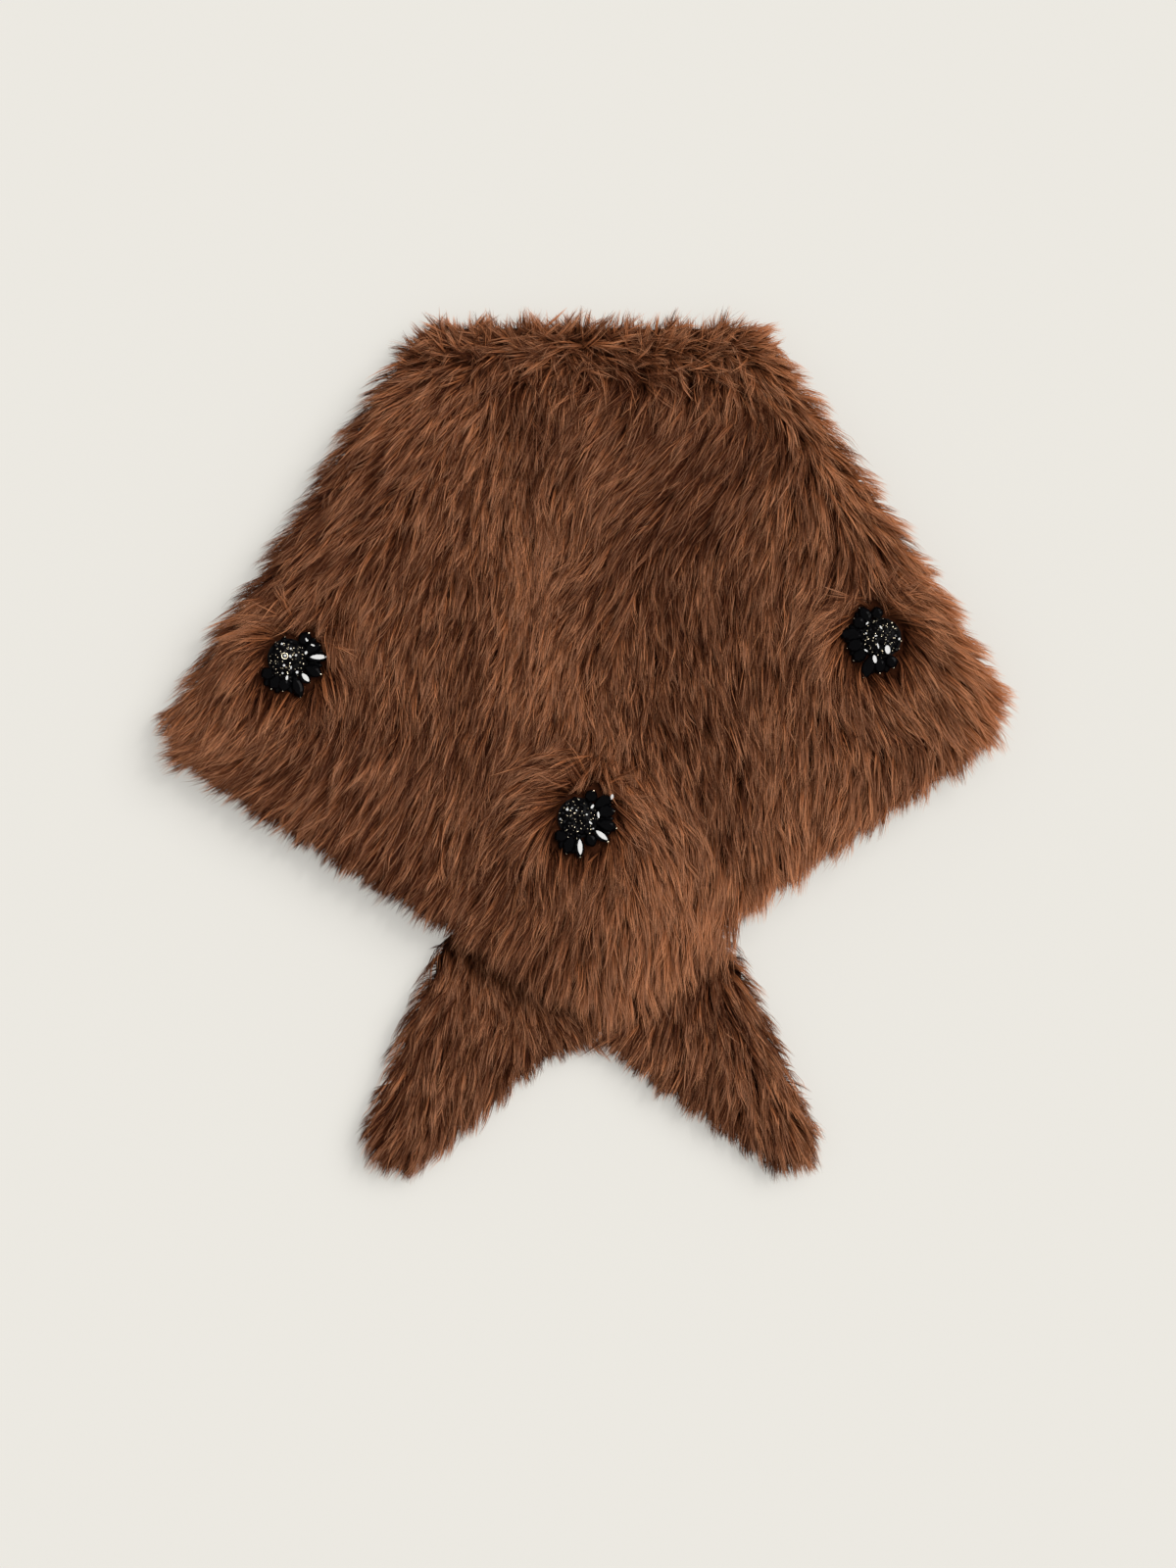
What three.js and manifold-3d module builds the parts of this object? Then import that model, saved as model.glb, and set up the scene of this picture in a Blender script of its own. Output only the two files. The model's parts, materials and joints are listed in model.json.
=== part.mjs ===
// Fur kerchief wrap, laid flat on a table.
// It is one long triangle of fur with fur on both faces. The two long ends are folded behind
// along slanting folds, cross under the middle, and come out below the point at left and right.
// Three jewelled motifs are sewn through the pile of the front.
// Millimetres, +Z up, +Y towards the neck edge. The origin is the middle of the footprint, on the table.

import * as THREE from "three";
import Module from "manifold-3d";
import { mergeVertices } from "three/addons/utils/BufferGeometryUtils.js";

const wasm = await Module();
wasm.setup();

// Heights of the fur, from the table up
const LAYER_HEIGHT = 24; // one free layer, with the pile of both faces
const PRESSED_HEIGHT = 16; // one layer with another lying on it
const CROSSING_RISE = 10; // what the second hidden layer adds where the ends cross
const SEAM_GAP = 0.5; // between one piece and the next
const HUG = 2; // how far below the hidden layers' face the front would sink if they weren't there
const FEATHER_HEIGHT = 4; // height of the hidden layers at their inner edges

// How the pile rounds over an edge
const FOLD_ROUND = 30; // width of the curve over the edge of the front
const END_ROUND = 26; // the same on the two ends
const HEM_ROUND = 12; // the same on the pressed edges of the hidden layers
const UNDER_ROUND = 8; // width of the tuck under an edge
const RIM_SHARE = 0.44; // height of an edge's outermost line, as a share of its layer

// Tufts along the outline: one outline point in three stands out, unevenly
const TUFT_REACH = 2.6;
const TUFT_STEPS = 3;
const TUFT_VALLEY = 0.5; // how far the points between go in, as a share of the reach
const TUFT_UNEVEN = 0.35;

// Locks of pile lying on the face, which lean to one side and the other in slow waves
const LOCK = { width: 34, length: 52, height: 2.4, meanLean: 0.12, lean: 0.3, leanWave: 140 };

// Where the two ends meet under the point
const MIDDLE_SEAM = 11.7;

// Outline of the front as it lies, to the tips of the fur, with the radius of each corner
const FRONT_CORNERS = [
  { corner: "neck_left", x: -108, y: 283.5, radius: 16 },
  { corner: "fold_left", x: -289.9, y: -2, radius: 24 },
  { corner: "point", x: 3.9, y: -184, radius: 40 },
  { corner: "fold_right", x: 296.4, y: 14.3, radius: 36 },
  { corner: "neck_right", x: 120.4, y: 283.5, radius: 16 },
];

// Outline of the end that comes out at the left, which is the tip of the right-hand side
const LEFT_END_CORNERS = [
  { corner: "outer_root", x: -91.5, y: -119.7, radius: 4 },
  { corner: "tip", x: -177, y: -339.3, radius: 23 },
  { corner: "inner_edge", x: -18.2, y: -206.7, radius: 8 },
  { corner: "crotch", x: MIDDLE_SEAM - 0.2, y: -202.8, radius: 3 },
  { corner: "inner_root", x: MIDDLE_SEAM - 0.2, y: -157.6, radius: 4 },
];

// Outline of the end that comes out at the right, which is the tip of the left-hand side
const RIGHT_END_CORNERS = [
  { corner: "inner_root", x: MIDDLE_SEAM + 0.2, y: -157.6, radius: 4 },
  { corner: "crotch", x: MIDDLE_SEAM + 0.2, y: -202.8, radius: 3 },
  { corner: "inner_edge", x: 29.9, y: -213.2, radius: 8 },
  { corner: "tip", x: 187.5, y: -326, radius: 20 },
  { corner: "outer_root", x: 93.5, y: -118.2, radius: 4 },
];

// Outline of the layers hidden under the front, with the notch between them at the neck
const HIDDEN_CORNERS = [
  { corner: "left_leg", x: -109.9, y: 250.3, radius: 6 },
  { corner: "left_fold", x: -262.6, y: -7.8, radius: 14 },
  { corner: "left_seam", x: -95, y: -118, radius: 4 },
  { corner: "point_seam", x: MIDDLE_SEAM, y: -157.2, radius: 4 },
  { corner: "right_seam", x: 97, y: -116, radius: 4 },
  { corner: "right_fold", x: 271.7, y: 7.8, radius: 14 },
  { corner: "right_leg", x: 127.4, y: 250.3, radius: 6 },
  { corner: "right_notch", x: 106.6, y: 250.3, radius: 4 },
  { corner: "notch", x: 9.8, y: 35.8, radius: 10 },
  { corner: "left_notch", x: -88.4, y: 250.3, radius: 4 },
];

// Lines that the hidden layers slope up from, each with its layer on the left of the line
const HIDDEN_EDGES = {
  left: {
    fold: { from: [-128, 282], to: [-284, 16] },
    inner: { from: [143.7, -266.5], to: [-100, 270] },
  },
  right: {
    fold: { from: [284, 28], to: [145, 282] },
    inner: { from: [118, 270], to: [-126, -266.5] },
  },
};
const FOLD_SLOPE = { width: 36, outside: 0 };
const INNER_SLOPE = { width: 50, outside: 16.5 };
const DRAPE_SLOPE = { width: 95, outside: 40 }; // the front spans them in softer slopes
const CROSSING_BAND = { from: -150, to: -95 }; // heights on the table where the crossing sets in
const DRAPE_BAND = { from: -190, to: -100 };

// Where the front's edge is a hem: this near its lower outline, and this far in from the folds
const HEM_BAND = { from: 44, to: 14 };
const HEM_END = { from: 22, to: 62 };

// How an end swells once it is clear of the front, by how far it is inside the front's outline
const FREE_BAND = { from: 9, to: -33 };

// Its outline has no tufts at the seams
const SEAM_COVER = 6;
const SEAM_SIDE = 5;

// Jewelled motifs: where each is sewn, and which way its petals fan out
const MOTIFS = [
  { name: "left", x: -191.8, y: 53.3, fan: -48 },
  { name: "middle", x: 1.5, y: -51.5, fan: -38 },
  { name: "right", x: 193.5, y: 69.5, fan: 196 },
];
const PLATE_HEIGHT = 1.8;
const STONE_GAP = 0.3;
const MOUND_RADIUS = 12.5;
const MOUND_FOOT = 1;
const MOUND_HEIGHT = 5.2;
const PETALS = 9;
const PETAL_STEP = 24;
const PETAL = { length: 11.2, width: 5.9, height: 3.6, girdle: 1.3 };
const PETAL_START = MOUND_RADIUS + STONE_GAP;
const MOUND_SHIFT = 5.2; // the mound is this far off the motif's middle, away from its petals

// The hollow of parted pile round each motif
const SEAT_RADIUS = 26; // its flat floor
const SEAT_BLEND = 40; // where its slope has come up past the face
const SEAT_DEPTH = 9;
const SEAT_CLEAR = 4; // how far the slope goes on above the face

const smooth = (t) => {
  const c = Math.min(1, Math.max(0, t));
  return c * c * (3 - 2 * c);
};

// From 0 to 1 as a value goes from one end of a band to the other
const across = (value, { from, to }) => smooth((value - from) / (to - from));

// From 0 to 1 over a slope that starts a little outside a line
const upSlope = (distance, { width, outside }) => smooth((distance + outside) / width);

// A quarter of an ellipse, from 0 at the edge to 1 once the curve is over
const rounded = (t) => Math.sqrt(1 - (1 - Math.min(1, Math.max(0, t))) ** 2);

// Distance to the left of a line through two points
function leftOf({ from, to }, x, y) {
  const [dx, dy] = [to[0] - from[0], to[1] - from[1]];
  return (dx * (y - from[1]) - dy * (x - from[0])) / Math.hypot(dx, dy);
}

// A closed outline with its corners rounded by arcs, as evenly spaced points, anticlockwise
function roundedOutline(corners, count) {
  const path = new THREE.Path();
  corners.forEach(({ x, y, radius }, i) => {
    const here = new THREE.Vector2(x, y);
    const before = corners[(i + corners.length - 1) % corners.length];
    const after = corners[(i + 1) % corners.length];
    const back = new THREE.Vector2(before.x, before.y).sub(here).normalize();
    const on = new THREE.Vector2(after.x, after.y).sub(here).normalize();
    const half = Math.acos(back.dot(on)) / 2;
    const cut = radius / Math.tan(half);
    const bisector = back.clone().add(on).normalize();
    const middle = here.clone().addScaledVector(bisector, radius / Math.sin(half));
    const start = here.clone().addScaledVector(back, cut).sub(middle).angle();
    const end = here.clone().addScaledVector(on, cut).sub(middle).angle();
    path.absarc(middle.x, middle.y, radius, start, end, back.cross(on) > 0);
  });
  path.closePath();
  return path.getSpacedPoints(count).slice(0, count);
}

// Pushes every few points of an outline outwards, as tufts of fur
function tufted(points, weight) {
  return points.map((p, i) => {
    const before = points[(i + points.length - 1) % points.length];
    const after = points[(i + 1) % points.length];
    const out = new THREE.Vector2(after.y - before.y, before.x - after.x).normalize();
    const peak = i % TUFT_STEPS === 0 ? 1 : -TUFT_VALLEY;
    const uneven = 1 + TUFT_UNEVEN * Math.sin(i * 1.7);
    return p.clone().addScaledVector(out, TUFT_REACH * peak * uneven * weight(p.x, p.y));
  });
}

// Distance from a point to the nearest stretch of a closed outline
function edgeDistance(outline, x, y) {
  let nearest = Infinity;
  outline.forEach((a, i) => {
    const b = outline[(i + 1) % outline.length];
    const [dx, dy] = [b.x - a.x, b.y - a.y];
    const along = ((x - a.x) * dx + (y - a.y) * dy) / (dx * dx + dy * dy || 1);
    const t = Math.min(1, Math.max(0, along));
    nearest = Math.min(nearest, Math.hypot(x - a.x - t * dx, y - a.y - t * dy));
  });
  return nearest;
}

function inside(outline, x, y) {
  let found = false;
  outline.forEach((a, i) => {
    const b = outline[(i + 1) % outline.length];
    if (a.y > y !== b.y > y && x < a.x + ((b.x - a.x) * (y - a.y)) / (b.y - a.y)) found = !found;
  });
  return found;
}

// Positive inside an outline, negative outside
const insetOf = (outline, x, y) => edgeDistance(outline, x, y) * (inside(outline, x, y) ? 1 : -1);

// Locks of pile in staggered rows, each rising towards its tip
function lockRelief(x, y) {
  const lean = LOCK.lean * Math.sin(x / LOCK.leanWave) + LOCK.meanLean;
  const down = (lean * x - y) / LOCK.length;
  const row = Math.floor(down);
  const column = (x + lean * y) / LOCK.width + 0.5 * (row % 2);
  const ridge = 0.5 + 0.5 * Math.cos(2 * Math.PI * column);
  return LOCK.height * (ridge * Math.sin(Math.PI * (down - row)) ** 2 - 0.5);
}

// Height of the hidden layers' face, which slopes down at their folds and inner edges
function hiddenHeight(x, y) {
  const cover = Object.values(HIDDEN_EDGES).map(
    ({ fold, inner }) =>
      upSlope(leftOf(fold, x, y), FOLD_SLOPE) * upSlope(leftOf(inner, x, y), INNER_SLOPE),
  );
  const crossed = Math.min(...cover) * across(y, CROSSING_BAND);
  return PRESSED_HEIGHT * Math.max(...cover) + CROSSING_RISE * crossed;
}

// Height of the front's face over the hidden layers
function drapedHeight(x, y) {
  const cover = Object.values(HIDDEN_EDGES).map(({ inner }) =>
    upSlope(leftOf(inner, x, y), DRAPE_SLOPE),
  );
  const crossed = Math.min(...cover) * across(y, DRAPE_BAND);
  return LAYER_HEIGHT + PRESSED_HEIGHT * Math.max(...cover) + CROSSING_RISE * crossed;
}

// A closed layer of cloth and pile, as rings drawn in from its outline over a top and an underside
function layerGeometry({ outline, centre, rings, underRings, top, under, rim }) {
  const positions = [];
  const faces = [];
  const vertex = (x, y, z) => positions.push(x, y, z) / 3 - 1;
  const ringAt = ({ inset, stride }, height) =>
    outline
      .filter((_, i) => i % stride === 0)
      .map((p) => {
        const x = p.x + (centre.x - p.x) * inset;
        const y = p.y + (centre.y - p.y) * inset;
        return vertex(x, y, height(x, y));
      });
  const face = (a, b, c, up) => (up ? faces.push(a, b, c) : faces.push(a, c, b));
  const stitch = (outer, inner, up) => {
    const ratio = outer.length / inner.length;
    inner.forEach((a, i) => {
      const b = inner[(i + 1) % inner.length];
      const first = outer[i * ratio];
      const last = outer[((i + 1) * ratio) % outer.length];
      if (ratio === 2) {
        const middle = outer[i * ratio + 1];
        face(first, middle, a, up);
        face(middle, b, a, up);
        face(middle, last, b, up);
      } else {
        face(first, last, a, up);
        face(last, b, a, up);
      }
    });
  };
  const cover = (list, height, up, edge) => {
    let outer = edge;
    for (const ring of list) {
      const inner = ringAt(ring, height);
      stitch(outer, inner, up);
      outer = inner;
    }
    const middle = vertex(centre.x, centre.y, height(centre.x, centre.y));
    outer.forEach((a, i) => face(a, outer[(i + 1) % outer.length], middle, up));
  };
  const edge = ringAt({ inset: 0, stride: 1 }, rim);
  cover(rings, top, true, edge);
  cover(underRings, under, false, edge);
  const geometry = new THREE.BufferGeometry();
  geometry.setAttribute("position", new THREE.Float32BufferAttribute(positions, 3));
  geometry.setIndex(faces);
  return geometry;
}

// Rings from a list of insets, thinning out towards the middle
const ringList = (insets, half, quarter) =>
  insets.map((inset) => ({ inset, stride: inset >= quarter ? 4 : inset >= half ? 2 : 1 }));

function toSolid(geometry) {
  const bare = geometry.clone().deleteAttribute("normal").deleteAttribute("uv");
  const merged = mergeVertices(bare, 1e-3);
  return new wasm.Manifold(
    new wasm.Mesh({
      numProp: 3,
      vertProperties: merged.attributes.position.array,
      triVerts: new Uint32Array(merged.index.array),
    }),
  );
}

function fromSolid(solid) {
  const { vertProperties, triVerts } = solid.getMesh();
  const geometry = new THREE.BufferGeometry();
  geometry.setAttribute("position", new THREE.BufferAttribute(vertProperties, 3));
  geometry.setIndex(new THREE.BufferAttribute(triVerts, 1));
  return geometry;
}

const FUR = new THREE.MeshStandardMaterial({ color: 0x6b3f28, roughness: 0.9, metalness: 0 });
const PLATE = new THREE.MeshStandardMaterial({ color: 0x0c0c0e, roughness: 0.5, metalness: 0.3 });
const JET = new THREE.MeshStandardMaterial({ color: 0x050506, roughness: 0.06, metalness: 0 });

const wrap = new THREE.Group();
wrap.name = "fur_kerchief_wrap";

function addMesh(name, geometry, material, parent = wrap) {
  const mesh = new THREE.Mesh(geometry, material);
  mesh.name = name;
  parent.add(mesh);
  return mesh;
}

const plainFront = roundedOutline(FRONT_CORNERS, 144);
const frontOutline = tufted(plainFront, () => 1);
const insideFront = (x, y) => insetOf(frontOutline, x, y);

// How much of an edge is a hem lying on the layer below: 1 along the hems, 0 at folds and neck
function hemShare(x, y) {
  const [, foldLeft, point, foldRight] = FRONT_CORNERS;
  const bottom = x < point.x ? foldLeft : foldRight;
  const line = point.y + ((bottom.y - point.y) * (x - point.x)) / (bottom.x - point.x);
  return across(y - line, HEM_BAND) * across(Math.abs(bottom.x - x), HEM_END);
}

// Top of the hidden layers as the front would press it, and the floor elsewhere
const frontRest = (x, y) => Math.max(0, hiddenHeight(x, y) - HUG);

const seatLevel = ({ x, y }) => drapedHeight(x, y) - SEAT_DEPTH;

function frontRim(x, y) {
  const low = hemShare(x, y) * hiddenHeight(x, y);
  return low + RIM_SHARE * (drapedHeight(x, y) - low);
}

function frontTop(x, y) {
  const curve = rounded(insideFront(x, y) / FOLD_ROUND);
  const face = drapedHeight(x, y) + lockRelief(x, y);
  const rim = frontRim(x, y);
  return rim + (face - rim) * curve;
}

function frontUnder(x, y) {
  const tuck = 1 - rounded(insideFront(x, y) / UNDER_ROUND);
  return frontRest(x, y) + (frontRim(x, y) - frontRest(x, y)) * tuck;
}

// The front before anything is cut from it: the folds and neck reach the table, the hems hang
// just below the face of the layers they lie on
const FRONT_SHAPE = {
  outline: frontOutline,
  centre: new THREE.Vector2(8, 70),
  rings: ringList([0.012, 0.035, 0.07, 0.12, 0.18, 0.25, 0.33, 0.42, 0.52, 0.63, 0.75, 0.88], 0.25, 0.6),
  underRings: ringList([0.012, 0.03, 0.06, 0.12, 0.2, 0.3, 0.42, 0.56, 0.72, 0.86], 0.1, 0.5),
  top: frontTop,
  under: frontUnder,
  rim: frontRim,
};

// A layer that lies on the table, rounded at its edge
function lyingShape({ outline, centre, rings, underRings, face, round }) {
  const rim = (x, y) => RIM_SHARE * face(x, y);
  return {
    outline,
    centre,
    rings,
    underRings,
    top: (x, y) => rim(x, y) + (face(x, y) - rim(x, y)) * rounded(edgeDistance(outline, x, y) / round),
    under: (x, y) => rim(x, y) * (1 - rounded(edgeDistance(outline, x, y) / UNDER_ROUND)),
    rim,
  };
}

const HIDDEN_SHAPE = lyingShape({
  outline: roundedOutline(HIDDEN_CORNERS, 72),
  centre: new THREE.Vector2(9.8, -52),
  rings: ringList([0.02, 0.06, 0.12, 0.2, 0.3, 0.42, 0.56, 0.7, 0.85], 0.3, 2),
  underRings: ringList([0.03, 0.08], 2, 2),
  face: (x, y) => Math.max(FEATHER_HEIGHT, hiddenHeight(x, y)),
  round: HEM_ROUND,
});

// One end: pressed flat where it comes out from under the front, and full where it is free
function endShape(corners) {
  const atSeam = (x, y) =>
    insetOf(plainFront, x, y) > -SEAM_COVER || Math.abs(x - MIDDLE_SEAM) < SEAM_SIDE;
  const outline = tufted(roundedOutline(corners, 60), (x, y) => (atSeam(x, y) ? 0 : 1));
  const middle = corners.reduce((sum, { x, y }) => sum.add({ x, y }), new THREE.Vector2());
  const pressed = PRESSED_HEIGHT - 1;
  const face = (x, y) => {
    const free = across(insideFront(x, y), FREE_BAND);
    return pressed + (LAYER_HEIGHT + lockRelief(x, y) - pressed) * free;
  };
  return lyingShape({
    outline,
    centre: middle.divideScalar(corners.length),
    rings: ringList([0.05, 0.12, 0.22, 0.34, 0.48, 0.64, 0.82], 0.45, 2),
    underRings: ringList([0.05, 0.16], 2, 2),
    face,
    round: END_ROUND,
  });
}

// A piece with the seam gap added all over it, which is what its neighbour is cut back to
function grown(geometry) {
  const bigger = geometry.clone();
  bigger.computeVertexNormals();
  const { position, normal } = bigger.attributes;
  const place = new THREE.Vector3();
  const out = new THREE.Vector3();
  for (let i = 0; i < position.count; i++) {
    out.fromBufferAttribute(normal, i);
    place.fromBufferAttribute(position, i).addScaledVector(out, SEAM_GAP);
    position.setXYZ(i, place.x, place.y, place.z);
  }
  return bigger;
}

// The hollow in the parted pile round a motif, from its flat floor up past the face
function hollowGeometry() {
  const steps = 4;
  const height = SEAT_DEPTH + SEAT_CLEAR;
  const profile = [new THREE.Vector2(0, 0)];
  for (let i = 0; i <= steps; i++) {
    const t = i / steps;
    profile.push(new THREE.Vector2(SEAT_RADIUS + (SEAT_BLEND - SEAT_RADIUS) * t, height * t ** 1.4));
  }
  profile.push(new THREE.Vector2(0, height));
  return new THREE.LatheGeometry(profile, 32).rotateX(Math.PI / 2);
}

function makeFur() {
  const below = {
    hidden_layers: layerGeometry(HIDDEN_SHAPE),
    left_end: layerGeometry(endShape(LEFT_END_CORNERS)),
    right_end: layerGeometry(endShape(RIGHT_END_CORNERS)),
  };
  let front = toSolid(layerGeometry(FRONT_SHAPE));
  for (const geometry of Object.values(below)) front = front.subtract(toSolid(grown(geometry)));
  for (const motif of MOTIFS) {
    const hollow = hollowGeometry().translate(motif.x, motif.y, seatLevel(motif));
    front = front.subtract(toSolid(hollow));
  }
  addMesh("front_panel", fromSolid(front), FUR);
  for (const [name, geometry] of Object.entries(below)) addMesh(name, geometry, FUR);
}

// A pointed oval stone with a flat table, cut flat below, lying along +X from its inner point
function petalGeometry(length) {
  const half = 5;
  const side = (t) => Math.sin(Math.PI * t) ** 0.8;
  const outline = [];
  for (let i = 0; i < half; i++) outline.push([i / half, -side(i / half)]);
  for (let i = half; i > 0; i--) outline.push([i / half, side(i / half)]);
  const levels = [
    { size: 0.72, z: 0 },
    { size: 1, z: PETAL.girdle },
    { size: 0.55, z: PETAL.height },
  ];
  const positions = [];
  for (const { size, z } of levels) {
    for (const [t, w] of outline) {
      positions.push((0.5 + (t - 0.5) * size) * length, (w * size * PETAL.width) / 2, z);
    }
  }
  const count = outline.length;
  const faces = [];
  for (let i = 1; i < count - 1; i++) {
    faces.push(0, i + 1, i);
    faces.push(2 * count, 2 * count + i, 2 * count + i + 1);
  }
  for (let level = 0; level < 2; level++) {
    for (let i = 0; i < count; i++) {
      const a = level * count + i;
      const b = level * count + ((i + 1) % count);
      faces.push(a, b, b + count, a, b + count, a + count);
    }
  }
  const geometry = new THREE.BufferGeometry();
  geometry.setAttribute("position", new THREE.Float32BufferAttribute(positions, 3));
  geometry.setIndex(faces);
  return geometry;
}

// Angle of each petal from the fan's middle, and its length
function petalFan() {
  return Array.from({ length: PETALS }, (_, i) => {
    const turn = (i - (PETALS - 1) / 2) * PETAL_STEP;
    const uneven = Math.sin(i * 2.4);
    return { turn: turn + 2 * uneven, length: PETAL.length * (1 + 0.09 * uneven) };
  });
}

// The backing: a disc under the mound, with an arm under each petal
function plateGeometry() {
  const disc = new THREE.CylinderGeometry(MOUND_RADIUS + 1, MOUND_RADIUS + 1, PLATE_HEIGHT, 20)
    .rotateX(Math.PI / 2)
    .translate(0, 0, PLATE_HEIGHT / 2);
  let plate = toSolid(disc);
  for (const { turn, length } of petalFan()) {
    const reach = PETAL_START + 0.6 * length;
    const arm = new THREE.BoxGeometry(reach, 0.45 * PETAL.width, 0.8 * PLATE_HEIGHT)
      .translate(reach / 2, 0, 0.4 * PLATE_HEIGHT)
      .rotateZ(THREE.MathUtils.degToRad(turn));
    plate = plate.add(toSolid(arm));
  }
  return fromSolid(plate);
}

// The raised middle that carries the small stones
function moundGeometry() {
  const steps = 4;
  const profile = [new THREE.Vector2(0, 0), new THREE.Vector2(MOUND_RADIUS, 0)];
  for (let i = 0; i < steps; i++) {
    const angle = (i / steps) * (Math.PI / 2);
    const height = MOUND_FOOT + MOUND_HEIGHT * Math.sin(angle);
    profile.push(new THREE.Vector2(MOUND_RADIUS * Math.cos(angle), height));
  }
  profile.push(new THREE.Vector2(0, MOUND_FOOT + MOUND_HEIGHT));
  return new THREE.LatheGeometry(profile, 18).rotateX(Math.PI / 2);
}

// Petals start just outside the mound's foot, and lie on the plate's arms
function makeMotif({ name, x, y, fan }) {
  const motif = new THREE.Group();
  motif.position.set(x, y, seatLevel({ x, y }) + SEAM_GAP);
  motif.rotation.z = THREE.MathUtils.degToRad(fan);
  wrap.add(motif);
  const cluster = new THREE.Group();
  cluster.position.x = -MOUND_SHIFT;
  motif.add(cluster);
  addMesh(`motif_${name}_plate`, plateGeometry(), PLATE, cluster);
  const mound = addMesh(`motif_${name}_mound`, moundGeometry(), JET, cluster);
  mound.position.z = PLATE_HEIGHT + STONE_GAP;
  petalFan().forEach(({ turn, length }, i) => {
    const holder = new THREE.Group();
    holder.rotation.z = THREE.MathUtils.degToRad(turn);
    cluster.add(holder);
    const petal = addMesh(`motif_${name}_petal_${i + 1}`, petalGeometry(length), JET, holder);
    petal.position.set(PETAL_START, 0, PLATE_HEIGHT + STONE_GAP);
  });
}

makeFur();
MOTIFS.forEach(makeMotif);

// The origin is the middle of the footprint
const box = new THREE.Box3().setFromObject(wrap, true);
wrap.position.set(-(box.min.x + box.max.x) / 2, -(box.min.y + box.max.y) / 2, -box.min.z);

export default wrap;
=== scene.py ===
# %% [markdown]
# # A fur kerchief wrap, laid flat
#
# The wrap is one long triangle of fur cloth, with pile on both faces. It lies on a pale table, its two
# long ends folded behind and crossing under the middle. Its solids come packed, at their real size.
# Here each of them is dressed: a thin cloth inside the solid, and a coat of real strands on the cloth.

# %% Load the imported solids
import json
import math

import bpy
import numpy as np
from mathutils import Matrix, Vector, noise
from mathutils.bvhtree import BVHTree
from mathutils.kdtree import KDTree

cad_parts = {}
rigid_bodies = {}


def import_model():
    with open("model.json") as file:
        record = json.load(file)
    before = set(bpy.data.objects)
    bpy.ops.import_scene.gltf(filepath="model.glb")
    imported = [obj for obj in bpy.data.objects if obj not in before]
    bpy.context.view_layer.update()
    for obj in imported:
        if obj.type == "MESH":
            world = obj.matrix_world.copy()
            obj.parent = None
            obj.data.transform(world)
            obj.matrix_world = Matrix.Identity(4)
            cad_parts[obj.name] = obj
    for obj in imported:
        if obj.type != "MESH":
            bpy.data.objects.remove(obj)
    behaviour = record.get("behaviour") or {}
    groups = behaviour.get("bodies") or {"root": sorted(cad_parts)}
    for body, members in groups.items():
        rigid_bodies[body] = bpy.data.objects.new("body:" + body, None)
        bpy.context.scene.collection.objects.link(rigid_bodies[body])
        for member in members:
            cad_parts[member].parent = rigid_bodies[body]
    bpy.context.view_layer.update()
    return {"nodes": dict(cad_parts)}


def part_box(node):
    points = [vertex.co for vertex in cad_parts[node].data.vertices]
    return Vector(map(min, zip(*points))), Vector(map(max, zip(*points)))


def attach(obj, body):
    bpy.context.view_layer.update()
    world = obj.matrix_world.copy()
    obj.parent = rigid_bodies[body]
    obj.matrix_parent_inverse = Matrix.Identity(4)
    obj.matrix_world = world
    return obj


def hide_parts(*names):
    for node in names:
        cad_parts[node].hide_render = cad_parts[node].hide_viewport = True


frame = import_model()
MM = 0.001
rng = np.random.default_rng(11)

# %% [markdown]
# ## Camera
#
# A wrap for sale is often photographed from straight above. A wide lens close by would show the near
# parts larger, so a long lens hangs high over the table. The lens and the height go together: the
# picture's long side covers just over a metre, measured at the level of the fur.

# %% Camera
PICTURE_HEIGHT = 1.040
LENS = 85.0  # in millimetres, as is the sensor
SENSOR = 36.0
FUR_LEVEL = 34 * MM
PICTURE_CENTRE = (0.0021, -0.0254)

camera_data = bpy.data.cameras.new("overhead")
camera_data.lens = LENS
camera_data.sensor_width = SENSOR
camera = bpy.data.objects.new("overhead", camera_data)
camera.location = (*PICTURE_CENTRE, FUR_LEVEL + PICTURE_HEIGHT * LENS / SENSOR)
bpy.context.scene.collection.objects.link(camera)
bpy.context.scene.camera = camera
print("camera height:", round(camera.location.z, 3))

# %% [markdown]
# ## Table
#
# The table is a pale board. One plane is enough, with its edge far off. A studio often lights such a
# board from below, to keep the shadows on it soft. Here the board itself glows a little, which does the
# same without one more lamp.

# %% Table
def linear(red, green, blue):
    """A colour as a screen shows it, 0 to 255, as the light values that a shader takes."""
    parts = np.array([red, green, blue]) / 255
    low = parts / 12.92
    high = ((parts + 0.055) / 1.055) ** 2.4
    return (*np.where(parts <= 0.04045, low, high), 1.0)


def add_object(name, mesh, material=None):
    obj = bpy.data.objects.new(name, mesh)
    bpy.context.scene.collection.objects.link(obj)
    if material:
        mesh.materials.append(material)
    return obj


def plain_material(name, colour, roughness, metallic=0.0):
    material = bpy.data.materials.new(name)
    material.use_nodes = True
    shader = material.node_tree.nodes["Principled BSDF"]
    shader.inputs["Base Color"].default_value = colour
    shader.inputs["Roughness"].default_value = roughness
    shader.inputs["Metallic"].default_value = metallic
    return material, shader


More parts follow.
